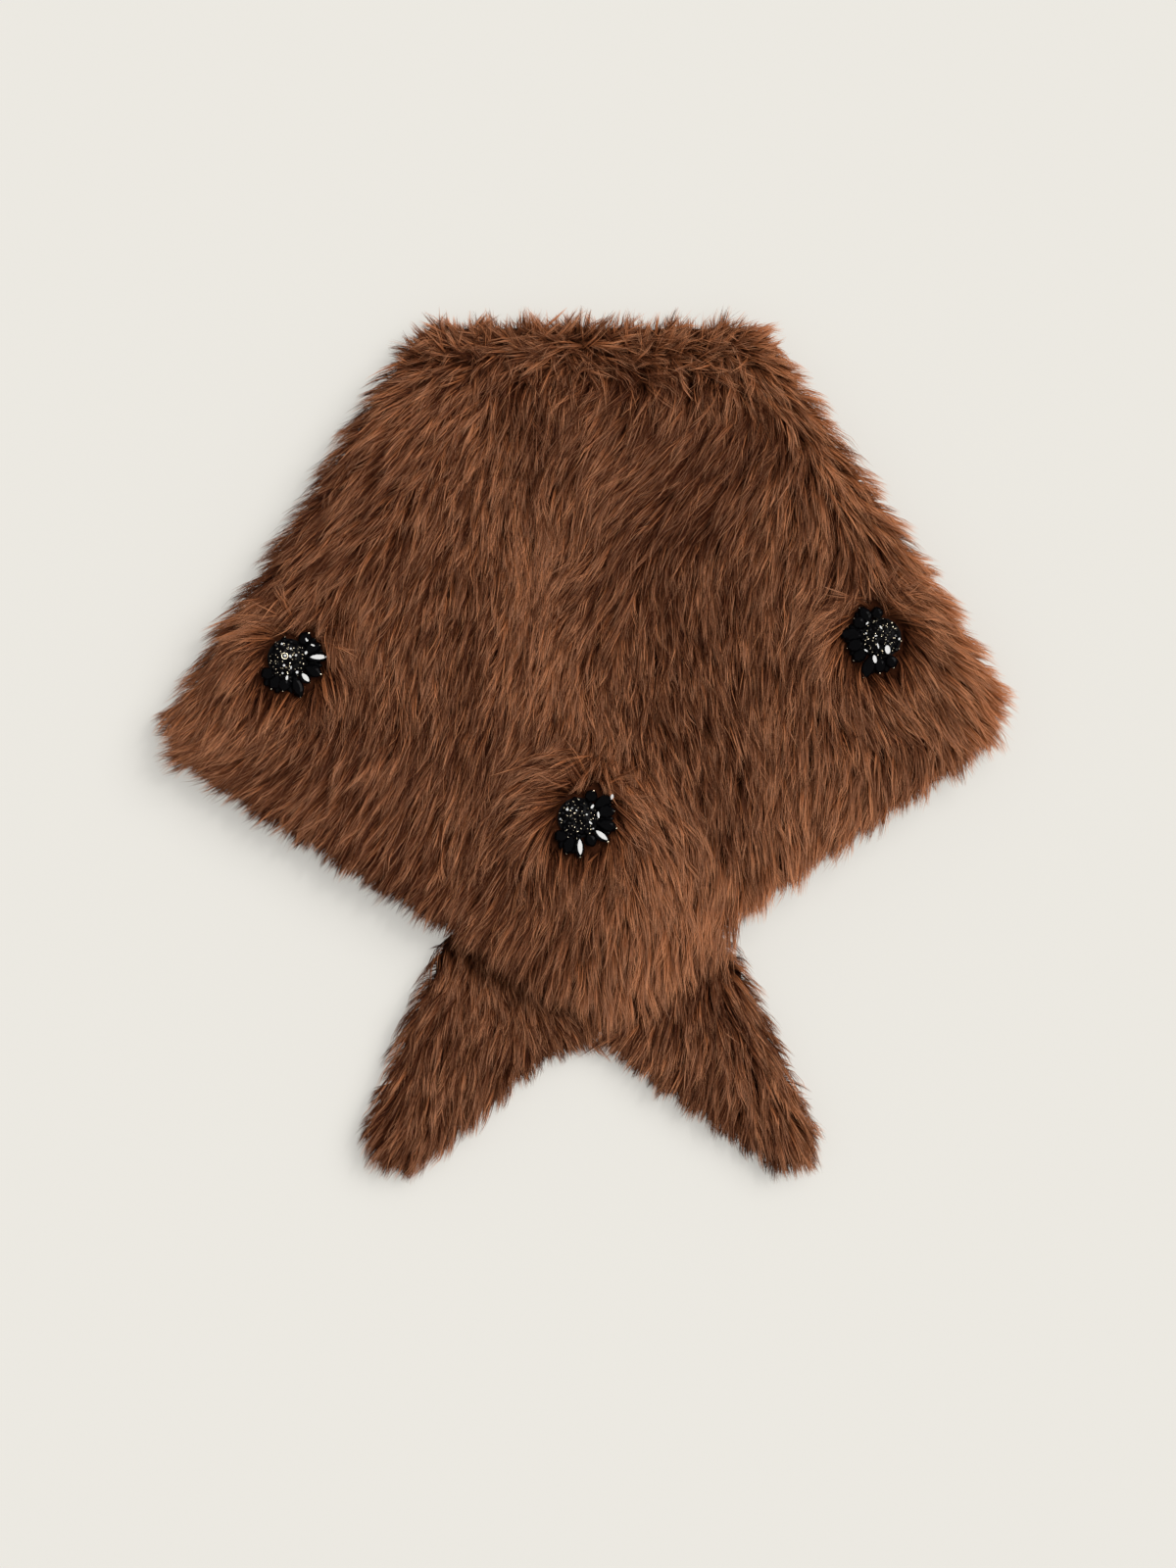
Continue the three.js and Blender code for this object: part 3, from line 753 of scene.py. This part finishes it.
def grow(cloth, hairs, share, outline, rows, length=31 * MM, play=1.0, gather=1.0):
    """Hair paths over a cloth, how light each hair is, and the way that the cloth faces at its root."""
    centres, lock_facing, locks = grow_locks(cloth, share, outline, rows, length, play)
    rim = 1 - np.clip(lock_facing[:, 2] / RIM_STARTS, 0, 1)
    lock_light = lock_lightness(centres, lock_facing, rim)
    smoother = gather * (1 - SMOOTHER * np.maximum(near_motif(centres), RIDGE_SMOOTHER * near_ridge(centres)))

    tufts, _ = scatter(cloth, len(centres) * TUFTS_IN_LOCK, share)
    tuft_lock = nearest(tufts, centres)
    tuft_light = TUFT_SPREAD * rng.normal(size=len(tufts))

    roots, root_facing = scatter(cloth, hairs, share)
    hair_tuft = nearest(roots, tufts)
    hair_lock = tuft_lock[hair_tuft]
    reach = np.where(rng.random(hairs) < UNDERFUR, UNDERFUR_LENGTH, 1.0)
    reach = np.clip(reach * (1 + HAIR_UNEVEN * rng.normal(size=hairs)), 0.3, 1.35)[:, None, None]
    guide = locks[hair_lock]
    path = guide[:, :1] + (guide - guide[:, :1]) * reach
    loose = np.where(rng.random(hairs) < LOOSE, LOOSE_HOLD, 1.0)[:, None]
    gathering = ((GATHER_ON_TOP + GATHER_AT_RIM * rim) * smoother)[hair_lock][:, None]
    tuft_hold = 1 - (1 - holding(*TUFT_HOLD)[None, :]) * gathering * loose
    hair_hold = 1 - (1 - holding(*HAIR_HOLD)[None, :]) * loose
    path = path + (tufts[hair_tuft] - centres[hair_lock])[:, None] * tuft_hold[:, :, None]
    path = path + (roots - tufts[hair_tuft])[:, None] * hair_hold[:, :, None]
    frizz = rng.normal(size=(hairs, 1, 3)) * FRIZZ / (0.3 + loose[:, :, None])
    path = path + frizz * (np.arange(STEPS + 1) / STEPS)[None, :, None] ** 1.6
    rise = path[:, :, 2] - path[:, :1, 2]
    top = rise.max(axis=1, keepdims=True)
    path[:, :, 2] = path[:, :1, 2] + rise * np.minimum(1, MOST_RISE / np.maximum(top, 1e-6))
    path = trim_to_outline(path, outline, np.full(hairs, FURTHEST * play))
    light = lock_light[hair_lock] + tuft_light[hair_tuft] + HAIR_SPREAD * rng.normal(size=hairs)
    return path, np.clip(light, 0.02, 0.98), root_facing


print("hairs close in on their tuft to", holding(*HAIR_HOLD).round(2), "of their first distance")

# %% [markdown]
# ## From paths to meshes
#
# A hair here is a flat ribbon that tapers to nothing: three joined pieces, seven points. It is turned a
# little about its length at random, so that each hair catches the light in its own way. Thousands are
# written into one mesh at once, because adding them one by one would take Blender minutes.

# %% Ribbons
HAIR_WIDTH = 0.36 * MM
TAPER = np.array([0.85, 1.0, 0.7])  # width at each step before the tip
WIDTH_SPREAD = 0.25
LEAN_UP = 0.6  # how far a ribbon's flat side turns from the cloth's own way up to the sky
ROLL = 38  # how far it is turned about its length, in degrees
LIGHT_EDGE = 0.004  # a hair's two edges have to differ a little, or its map would have no width


def ribbon_mesh(name, path, light, facing):
    """Hairs as one mesh. Each ribbon's flat side faces away from the cloth that it grows on."""
    count = len(path)
    way = np.diff(path, axis=1)
    way = np.concatenate([way, way[:, -1:]], axis=1)
    way /= np.linalg.norm(way, axis=2)[:, :, None] + 1e-12
    away = facing + np.array([0, 0, LEAN_UP])
    side = np.cross(way, away[:, None])
    flat = np.linalg.norm(side, axis=2)[:, :, None]
    side = np.where(flat > 0.05, side / (flat + 1e-12), np.array([1.0, 0, 0]))
    roll = np.radians(ROLL * rng.normal(size=(count, 1, 1)))
    side = side * np.cos(roll) + np.cross(way, side) * np.sin(roll)
    width = HAIR_WIDTH * (1 + WIDTH_SPREAD * rng.normal(size=(count, 1, 1))).clip(0.5, 1.6)
    half = side[:, :-1] * width * TAPER[None, :, None] / 2
    left = path[:, :-1] - half
    right = path[:, :-1] + half
    points = np.concatenate([np.stack([left, right], axis=2).reshape(count, -1, 3), path[:, -1:]], axis=1)

    each = 2 * STEPS + 1
    quads = [(2 * k, 2 * k + 1, 2 * k + 3, 2 * k + 2) for k in range(STEPS - 1)]
    pattern = np.array([i for q in quads for i in q] + [2 * STEPS - 2, 2 * STEPS - 1, 2 * STEPS])
    loops = (np.arange(count)[:, None] * each + pattern[None]).ravel()
    starts = np.array([4 * k for k in range(STEPS)])
    per_hair = len(pattern)
    starts = (np.arange(count)[:, None] * per_hair + starts[None]).ravel()

    mesh = bpy.data.meshes.new(name)
    mesh.vertices.add(count * each)
    mesh.vertices.foreach_set("co", points.ravel())
    mesh.loops.add(len(loops))
    mesh.loops.foreach_set("vertex_index", loops.astype(np.int32))
    mesh.polygons.add(len(starts))
    mesh.polygons.foreach_set("loop_start", starts.astype(np.int32))
    mesh.polygons.foreach_set("use_smooth", np.ones(len(starts), bool))
    mesh.update(calc_edges=True)

    u = np.empty((count, each))
    u[:, 0:-1:2] = light[:, None] - LIGHT_EDGE
    u[:, 1:-1:2] = light[:, None] + LIGHT_EDGE
    u[:, -1] = light
    v = np.append(np.repeat(np.arange(STEPS) / STEPS, 2), 1.0) * 0.96 + 0.02
    uv = np.stack([u, np.broadcast_to(v, (count, each))], axis=2).reshape(-1, 2)
    mesh.uv_layers.new(name="OFBake").data.foreach_set("uv", uv[loops].ravel())
    return mesh


print("triangles in a hair:", 2 * STEPS - 1)

# %% Pieces of fur
MOST_HAIRS = 38000  # in one piece, which keeps it under 200,000 triangles


def fur_pieces(name, path, light, facing):
    """One object for each few tens of thousands of hairs."""
    order = rng.permutation(len(path))
    parts = []
    total = math.ceil(len(path) / MOST_HAIRS)
    for i, chosen in enumerate(np.array_split(order, total)):
        label = name if total == 1 else f"{name}_{i + 1}"
        mesh = ribbon_mesh(label, path[chosen], light[chosen], facing[chosen])
        piece = add_object(label, mesh, PILE)
        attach(piece, "root")
        parts.append(piece)
    print(name, len(path), "hairs, pieces:", total)
    return parts


print("triangles in a piece of fur, at most:", (2 * STEPS - 1) * MOST_HAIRS)

# %% [markdown]
# ## Fur on the front
#
# The front carries most of the pile. Hairs grow from its top and from its sides, and the folds and
# hems get their soft edge from the hairs that grow outwards there. Nothing grows from the underside,
# which is crushed flat and never seen.
#
# The pile stands open along the right-hand fold and hem, and the light that gets in between the hairs
# there is painted into their tips, which are made paler. One tuft at the left corner and the neck edge
# get paler tips too. Each of these edges is close to a straight line. The way that it faces and its
# distance from the middle tell how near a tip is to it.

# %% Pale edges
# The way an edge faces in degrees, its distance in millimetres, how pale, and how far in
# Painted light on the first three, along the right-hand fold, its corner and the hem, which face the window;
# the last two, the left corner and the neck, are only made paler
PALE_EDGES = (
    (33, 255, 0.46, 22), (-8, 266, 0.62, 34), (-57, 152, 0.42, 30), (180, 270, 0.26, 26), (90, 286, 0.22, 10)
)
PALE_UNEVEN = 1.3
PALE_PATCH = 0.009


def pale_tips(tips):
    """How much paler a hair is for ending near a pale edge."""
    paler = np.zeros(len(tips))
    for turn, offset, most, band in PALE_EDGES:
        outward = np.array([math.cos(math.radians(turn)), math.sin(math.radians(turn)), 0])
        inside = np.minimum(tips @ outward - offset * MM, 0)
        paler = np.maximum(paler, most * np.exp(inside / (band * MM)))
    return paler * (1 + PALE_UNEVEN * wandering(tips, PALE_PATCH, 9))


print("pale edges:", len(PALE_EDGES))

# %% The front's fur
FRONT_HAIRS = 138000
BARE_BELOW = -0.35  # no hair grows where the cloth's normal points up less than this
BARE_FADE = 0.3


def top_and_sides(middle, facing):
    return np.clip((facing[:, 2] - BARE_BELOW) / BARE_FADE, 0, 1)


NECK_PARTING = (-18 * MM, 272 * MM)  # where the pile runs away to both sides
PARTING_WIDTH = 16 * MM
PARTING_EXTRA = 2.0
MOTIF_EXTRA = 0.9


def thick_at_ridge(middle, facing):
    """More hairs where they part and would leave the cloth bare: the neck ridge and the motifs."""
    parting = np.exp(-np.sum((middle[:, :2] - NECK_PARTING) ** 2, axis=1) / PARTING_WIDTH**2)
    extra = near_ridge(middle) + PARTING_EXTRA * parting + MOTIF_EXTRA * near_motif(middle)
    return top_and_sides(middle, facing) * (1 + extra)


front_outline = flattened("front_panel")
flows_over = flattened("front_panel", "right_end")  # the front's pile runs on over the right end
coat = grow(cloths["front_cloth"], FRONT_HAIRS, thick_at_ridge, flows_over, LIE_ROWS)
path, light, facing = clear_of_motifs(*coat)
# Tips near the pale edges are made paler, which along the right-hand fold and hem is painted light
light = np.minimum(light + pale_tips(path[:, -1]), 0.98)
front_fur = fur_pieces("front_fur", above_table(path), light, facing)

# %% [markdown]
# ## Fur on the ends and the hidden layers
#
# The ends are the tips of the same triangle, seen on their other face. What lies well under the front
# gets no hairs. The hidden layers only show at their edges, between the front's hem and the table.

# %% Fur on the ends
END_HAIRS = 16000
END_SHADE = {"left": 0.07, "right": 0.0}  # the left end is a little darker
END_PLAY = 0.75  # less room past the outline, and less gathering, than on the front
END_GATHER = 0.6
UNDER_FRONT = 16 * MM


def free_of_front(middle, facing):
    """1 where an end is free, falling to 0 a little way under the front's hem."""
    inside = np.zeros(len(middle))
    for i, point in enumerate(middle):
        covered = outside(front_outline, [point])[0] <= 0
        deeper = outside(front_outline, [point + np.array([0, -UNDER_FRONT, 0])])[0] <= 0
        inside[i] = 0.0 if covered and deeper else 1.0
    return inside * top_and_sides(middle, facing)


end_outline = flattened("left_end", "right_end")
for side in ("left", "right"):
    cloth = cloths[f"{side}_end_cloth"]
    path, light, facing = grow(
        cloth, END_HAIRS, free_of_front, end_outline, END_LIE_ROWS, play=END_PLAY, gather=END_GATHER
    )
    light = np.maximum(light - END_SHADE[side], 0.02)
    fur_pieces(f"{side}_end_fur", above_table(path), light, facing)

# %% Fur on the hidden edges
HIDDEN_HAIRS = 8000
HIDDEN_LENGTH = 22 * MM
HIDDEN_PLAY = 0.3
HIDDEN_TOP = 17 * MM  # under the front's hem
HEMS_BELOW = 30 * MM  # the hems lie below this line across the wrap


def rim_only(middle, facing):
    return (np.abs(facing[:, 2]) < 0.75) & (middle[:, 1] < HEMS_BELOW)


path, light, facing = grow(
    cloths["hidden_cloth"], HIDDEN_HAIRS, rim_only, front_outline, LIE_ROWS,
    length=HIDDEN_LENGTH, play=HIDDEN_PLAY,
)
path[:, :, 2] = np.minimum(path[:, :, 2], HIDDEN_TOP)
hidden_fur = fur_pieces("hidden_fur", above_table(path), light, facing)

# %% [markdown]
# ## What the cloths are
#
# The whole wrap is one triangle, and each stretch of cloth here is the part of it that shows.

print("sheets declared:", len(cloths))

# %% [markdown]
# ## Stones
#
# Each motif is a black backing with leaf-shaped stones fanned round a mound of small round ones. Cut
# stones sparkle because their facets face many ways, so each facet is a flat face with sharp edges.

# %% Stone and metal
def spread_of(shader, spread):
    """A shader's colour made a little darker, and made as much lighter."""
    colour = np.array(shader.inputs["Base Color"].default_value[:3])
    return (*colour * (1 - spread), 1), (*np.minimum(colour * (1 + spread), 1), 1)


STONE, stone_shader = plain_material("black cut stone", (0.0014, 0.0014, 0.0018, 1), 0.04)
stone_shader.inputs["IOR"].default_value = 1.18
shades = spread_of(stone_shader, 0.5)
with_grain(STONE, stone_shader, 1 / (3 * MM), shades, 0.002 * MM, roughness=(0.03, 0.06))
SETTING, setting_shader = plain_material("black setting", (0.002, 0.002, 0.0025, 1), 0.5)
setting_shader.inputs["Specular IOR Level"].default_value = 0.06
shades = spread_of(setting_shader, 0.6)
with_grain(SETTING, setting_shader, 1 / (0.6 * MM), shades, 0.05 * MM, roughness=(0.4, 0.65))
GOLD, gold_shader = plain_material("pale gold", linear(240, 227, 198), 0.2, metallic=1.0)
shades = spread_of(gold_shader, 0.15)
with_grain(GOLD, gold_shader, 1 / (0.8 * MM), shades, 0.01 * MM, roughness=(0.14, 0.28))
print("stone, setting and gold made")


# %% Cut stones
def ring(count, radius_x, radius_y, z, shift=0.0):
    angle = 2 * np.pi * (np.arange(count) + shift) / count
    return np.column_stack([radius_x * np.cos(angle), radius_y * np.sin(angle), np.full(count, z)])


def stone_points_and_faces(rings):
    """A closed cut stone from rings of equal count, each turned half a step from the last."""
    count = len(rings[0])
    faces = [tuple(range(count))[::-1]]
    for level in range(len(rings) - 1):
        low = level * count
        high = low + count
        for i in range(count):
            j = (i + 1) % count
            over, under = (i, j) if level % 2 == 0 else (j, i)
            faces.append((low + i, low + j, high + over))
            faces.append((low + under, high + j, high + i))
    last = (len(rings) - 1) * count
    faces.append(tuple(range(last, last + count)))
    return np.concatenate(rings), faces


def round_stone(radius):
    return stone_points_and_faces([
        ring(8, radius * size, radius * size, radius * level, shift)
        for size, level, shift in ((0.8, 0, 0.0), (1.0, 0.35, 0.5), (0.82, 0.62, 0.0), (0.46, 0.95, 0.5))
    ])


def leaf_stone(length, width, height):
    """A pointed oval with a wide flat table on top, as a marquise cut has."""
    rings = []
    for size, level, shift in ((0.80, 0.0, 0.0), (1.0, 0.34, 0.5), (0.90, 0.70, 0.0), (0.72, 1.0, 0.5)):
        angle = 2 * np.pi * (np.arange(12) + shift) / 12
        across = np.sign(np.sin(angle)) * np.abs(np.sin(angle)) ** 1.6
        rings.append(np.column_stack([
            size * length / 2 * np.cos(angle),
            size**2.2 * width / 2 * across,
            np.full(12, level * height),
        ]))
    return stone_points_and_faces(rings)


def oval_stone(length, width, height):
    """A round-ended stone with a wide flat table."""
    return stone_points_and_faces([
        ring(10, size * length / 2, size * width / 2, level * height, shift)
        for size, level, shift in ((0.80, 0.0, 0.0), (1.0, 0.4, 0.5), (0.95, 0.75, 0.0), (0.84, 1.0, 0.5))
    ])


print("faces of a round stone:", len(round_stone(MM)[1]), "of a leaf:", len(leaf_stone(MM, MM, MM)[1]))


# %% Join and turn
def joined_mesh(name, parts, materials):
    """One mesh from many (points, faces, material number) parts."""
    points = []
    faces = []
    numbers = []
    start = 0
    for where, corners, number in parts:
        points.append(where)
        faces += [tuple(start + i for i in face) for face in corners]
        numbers += [number] * len(corners)
        start += len(where)
    mesh = bpy.data.meshes.new(name)
    mesh.from_pydata(np.concatenate(points).tolist(), [], faces)
    for material in materials:
        mesh.materials.append(material)
    mesh.polygons.foreach_set("material_index", numbers)
    mesh.update()
    return mesh


def turned(points, axis_z, tilt=(0.0, 0.0)):
    """Points tilted a little about x and y, then turned about z."""
    tx, ty = tilt
    rx = np.array([[1, 0, 0], [0, math.cos(tx), -math.sin(tx)], [0, math.sin(tx), math.cos(tx)]])
    ry = np.array([[math.cos(ty), 0, math.sin(ty)], [0, 1, 0], [-math.sin(ty), 0, math.cos(ty)]])
    rz = np.array([
        [math.cos(axis_z), -math.sin(axis_z), 0],
        [math.sin(axis_z), math.cos(axis_z), 0],
        [0, 0, 1],
    ])
    return points @ (rz @ ry @ rx).T


print("a quarter turn takes x to", turned(np.array([1.0, 0, 0]), math.pi / 2).round(3))

# %% [markdown]
# ## Which stones flash
#
# A flat facet flashes when it stands halfway between the lamp and the eye. On a hand-sewn motif the
# stones sit at slightly different tilts, so a few of the leaves flash white and the rest stay black.
# The leaves named here are the ones that flash. All the others lean a little the other way.

# %% Tilt
FLASHING = {"left": (5, 7), "middle": (3, 5), "right": ()}
TURNED_AWAY = 0.13  # how far the other leaves lean from the window, which keeps them black


def halfway_at(place):
    """The direction halfway between the lamp and the camera, seen from a place."""
    return (from_sun + (camera.location - Vector(place)).normalized()).normalized()


def towards(normal):
    """The turn that takes straight up to the given direction."""
    return np.array(Vector((0, 0, 1)).rotation_difference(Vector(normal)).to_matrix())


def small_tilt(spread):
    return towards((rng.normal() * spread, rng.normal() * spread, 1))


AWAY = towards(Vector((0, 0, 1)) - TURNED_AWAY * sun_side)
flash = math.degrees(halfway_at((0, 0, 0)).angle(Vector((0, 0, 1))))
print("a facet flashes when it leans", round(flash, 1), "degrees")

# %% [markdown]
# ## The mound and the leaves
#
# Small round stones spiral over a low dome like seeds in a sunflower head, which covers it evenly, and
# a few oval stones sit among them. Beads of pale gold fill in between, and a stone here and there has
# a rim of gold wire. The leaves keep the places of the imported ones, but no two are equally long, and a
# lower row fills most of the gaps between them. So the whole has the uneven outline of hand sewing.

# %% The oval stones
# Oval stones: millimetres across and up from the mound's middle, turn in degrees, length and width
OVALS = {
    "left": ((12.6, 12.4, -80, 3.4, 2.2), (16.5, 8.6, -20, 3.4, 1.4), (12.0, 3.6, 60, 2.8, 2.0),
             (-0.6, -13.0, 80, 3.8, 2.0), (2.1, -6.2, 85, 2.6, 1.2), (1.7, 1.2, -60, 2.6, 1.8)),
    "middle": ((13.0, 1.7, 95, 5.4, 1.8), (9.0, 7.2, 55, 3.8, 2.0), (22.0, 13.6, 75, 4.4, 2.4),
               (7.8, -3.5, -45, 3.2, 1.5)),
    "right": ((3.5, -8.1, -82, 7.2, 4.4), (-5.0, -14.4, -80, 6.6, 3.2), (-2.9, -5.6, -75, 4.6, 1.2),
              (-1.0, 6.6, -55, 3.2, 1.4), (-10.0, 9.4, 50, 3.0, 1.3), (-4.3, 1.0, 20, 2.6, 1.1),
              (-10.8, -8.7, -35, 3.4, 1.3)),
}
OVAL_HEIGHT = 1.8 * MM


def oval_parts(side, middle, radius, level, height):
    parts = []
    for x, y, turn, length, width in OVALS[side]:
        points, faces = oval_stone(length * MM, width * MM, OVAL_HEIGHT)
        points = turned(points, math.radians(turn)) @ towards(halfway_at(middle)).T
        rise = level + height * max(0.66 - 0.5 * (math.hypot(x, y) * MM / radius) ** 2, 0.46)
        parts.append((points + (x * MM, y * MM, rise) + middle, faces, 0))
    return parts


print("oval stones:", {side: len(ovals) for side, ovals in OVALS.items()})

# %% The small stones
SMALL_STONES = 42
GOLDEN_TURN = math.radians(137.5)
DOME_TOP = 0.56  # how high the stones sit at the middle, and how much lower at the rim
DOME_FALL = 0.52
DOME = ((0.98, 0.0), (0.96, 0.10), (0.74, 0.40), (0.42, 0.58))  # shares of the radius and of the height
STONE_RADIUS = (1.25, 0.85)  # the least in millimetres, and how much more it may be
BEAD_RADIUS = (0.28, 0.34)
BEAD_TILT = 0.30
IN_FLASH = 0.16  # the share of small stones that flash
FLASH_TILT = 0.012
STONE_TILT = 0.22
RIMMED = 0.02  # the share with a rim
RIM_SIDES = 14
RIM_WIRE = 0.11 * MM


def gold_rim(radius, level):
    """A thin ring of gold wire round a stone."""
    turn = 2 * np.pi * np.arange(RIM_SIDES) / RIM_SIDES
    outward = np.column_stack([np.cos(turn), np.sin(turn), np.zeros(RIM_SIDES)])
    points = []
    for out, up in ((1, -1), (1, 1), (-1, 1), (-1, -1)):
        points.append(outward * (radius + out * RIM_WIRE) + np.array([0, 0, level + up * RIM_WIRE]))
    faces = []
    for k in range(4):
        for i in range(RIM_SIDES):
            j = (i + 1) % RIM_SIDES
            next_k = (k + 1) % 4
            start = k * RIM_SIDES
            end = next_k * RIM_SIDES
            faces.append((start + i, start + j, end + j, end + i))
    return np.concatenate(points), faces


def mound_parts(middle, radius, level, height):
    halfway = halfway_at(middle)
    dome = [ring(16, radius * r, radius * r, level + z * height) for r, z in DOME]
    points, faces = stone_points_and_faces(dome)
    parts = [(points + middle, faces, 1)]
    for i in range(SMALL_STONES):
        out = radius * 1.02 * math.sqrt((i + 0.5) / SMALL_STONES)
        turn = i * GOLDEN_TURN
        size = (STONE_RADIUS[0] + STONE_RADIUS[1] * rng.random() ** 1.5) * MM
        rise = level + height * (DOME_TOP - DOME_FALL * (out / radius) ** 2)
        points, faces = round_stone(size)
        points = turned(points, rng.random() * 6)
        if rng.random() < IN_FLASH:
            points = points @ (towards(halfway) @ small_tilt(FLASH_TILT)).T
        else:
            points = turned(points @ small_tilt(STONE_TILT).T, turn, (0.0, 0.5 * out / radius))
        place = np.array([out * math.cos(turn), out * math.sin(turn), rise])
        parts.append((points + place + middle, faces, 0))
        if rng.random() < RIMMED:
            rim, rim_faces = gold_rim(size * 1.02, size * 0.62)
            rim = turned(rim @ small_tilt(0.2).T, turn, (0.0, 0.4 * out / radius))
            parts.append((rim + place + middle, rim_faces, 2))
        for _ in range(1 + i % 2):
            bead, bead_faces = round_stone((BEAD_RADIUS[0] + BEAD_RADIUS[1] * rng.random()) * MM)
            bead = bead @ (towards(halfway) @ small_tilt(BEAD_TILT)).T
            aside = 2 * math.pi * rng.random()
            spot = place + np.array([math.cos(aside), math.sin(aside), 1.35]) * size * (1.05, 1.05, 0.7)
            parts.append((bead + spot + middle, bead_faces, 2))
    return parts


print("small stones on each mound:", SMALL_STONES)

# %% The leaves
LEAF_LENGTHS = {  # how many times as long as its packed leaf each one is
    "left": (0.8, 0.95, 1.0, 1.3, 0.9, 1.25, 1.3, 1.15, 0.95),
    "middle": (0.8, 1.15, 1.45, 0.8, 1.25, 1.4, 1.1, 1.45, 0.8),
    "right": (0.8, 1.1, 1.05, 1.4, 1.1, 1.15, 1.45, 1.15, 0.85),
}
LEAF_WIDER = 1.55
FLASHING_WIDER = 1.2
LEAF_FLATTER = 0.75
LEAF_TILT = 0.05
OVERLAP = 0.9 * MM  # every second leaf lies this much higher, over its neighbours
CLAW = 0.55 * MM  # a claw of gold wire holds each leaf's tip
CLAW_INSIDE = 0.8 * MM


def node_points(node):
    return points_of(frame["nodes"][node].data)


def dressed(name, parts, node=None):
    piece = add_object(name, joined_mesh(name, parts, [STONE, SETTING, GOLD]))
    if node:
        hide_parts(node)
    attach(piece, "root")
    return piece


def dress_leaf(side, number, middle):
    """A cut leaf in the place of a packed one. Gives the way that it points, and how far out it is."""
    node = f"motif_{side}_petal_{number}"
    points = node_points(node)
    centre = (points.min(axis=0) + points.max(axis=0)) / 2
    centre[2] = points[:, 2].min()
    way = centre - middle
    angle = math.atan2(way[1], way[0])
    far = np.hypot(*way[:2])
    level = turned(points - centre, -angle)
    size = level.max(axis=0) - level.min(axis=0)
    longer = LEAF_LENGTHS[side][number - 1]
    wider = FLASHING_WIDER if number in FLASHING[side] else LEAF_WIDER
    leaf, faces = leaf_stone(size[0] * longer, size[1] * wider, size[2] * LEAF_FLATTER)
    centre[:2] += way[:2] / far * size[0] * (longer - 1.1) / 2
    if number in FLASHING[side]:
        lean = towards(halfway_at(centre))
    else:
        lean = AWAY @ small_tilt(LEAF_TILT)
    tip = np.array([[size[0] * longer / 2 - CLAW_INSIDE, 0.2 * MM * rng.normal(), size[2] * 0.4]])
    leaf = turned(np.concatenate([leaf, tip]), angle) @ lean.T + centre
    leaf[:, 2] += points[:, 2].min() - leaf[:, 2].min() + OVERLAP * (number % 2)
    claw, claw_faces = round_stone(CLAW * (0.7 + 0.5 * rng.random()))
    claw = claw @ (towards(halfway_at(centre)) @ small_tilt(0.2)).T + leaf[-1]
    dressed(f"{node}_cut", [(leaf[:-1], faces, 0), (claw, claw_faces, 2)], node)
    return angle, far


print("leaves that flash:", sum(len(numbers) for numbers in FLASHING.values()))

# %% The lower leaves
GAPS = {"left": (4, 5), "middle": (3, 4, 8), "right": (1, 6)}  # after these leaves fur shows
UNDER_LEAF = (10.5 * MM, 6.2 * MM, 1.5 * MM)
LOWER_OUT = 0.3 * MM
LOWER_BY = 0.4 * MM


def dress_lower_leaves(side, middle, fan):
    """A second row of leaves under the first, in most of the gaps between its leaves."""
    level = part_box(f"motif_{side}_plate")[1][2]
    lower = []
    for number, ((a, far), (b, _)) in enumerate(zip(fan, fan[1:]), start=1):
        if number in GAPS[side]:
            continue
        step = math.atan2(math.sin(b - a), math.cos(b - a)) / 2
        leaf, faces = leaf_stone(*UNDER_LEAF)
        out = far + LOWER_OUT
        leaf = turned(leaf, a + step) @ AWAY.T
        place = np.array([out * math.cos(a + step), out * math.sin(a + step), level - LOWER_BY])
        lower.append((leaf + place + middle, faces, 0))
    dressed(f"motif_{side}_lower_leaves", lower)
    return len(lower)


print("gaps left open:", GAPS)

# %% Dress the motifs
for side in MOTIFS:
    mound = node_points(f"motif_{side}_mound")
    low = mound.min(axis=0)
    high = mound.max(axis=0)
    middle = np.array([*(low + high)[:2] / 2, 0])
    mound_size = ((high - low)[0] / 2, low[2], high[2] - low[2])
    parts = mound_parts(middle, *mound_size) + oval_parts(side, middle, *mound_size)
    dressed(f"motif_{side}_small_stones", parts, f"motif_{side}_mound")
    fan = [dress_leaf(side, number, middle) for number in range(1, 10)]
    print(side, "leaves:", len(fan), "and", dress_lower_leaves(side, middle, fan))
    plate = frame["nodes"][f"motif_{side}_plate"]
    plate.data.materials.clear()
    plate.data.materials.append(SETTING)
print("motifs dressed:", len(MOTIFS))

# %% [markdown]
# ## Finish
#
# The triangles of the added pieces are counted.

# %% Triangles
triangles = {}
for obj in bpy.data.objects:
    if obj.type == "MESH" and obj.name not in frame["nodes"] and obj is not table:
        obj.data.calc_loop_triangles()
        triangles[obj.name] = len(obj.data.loop_triangles)
print("triangles added:", sum(triangles.values()), "and most in a piece:", max(triangles.values()))
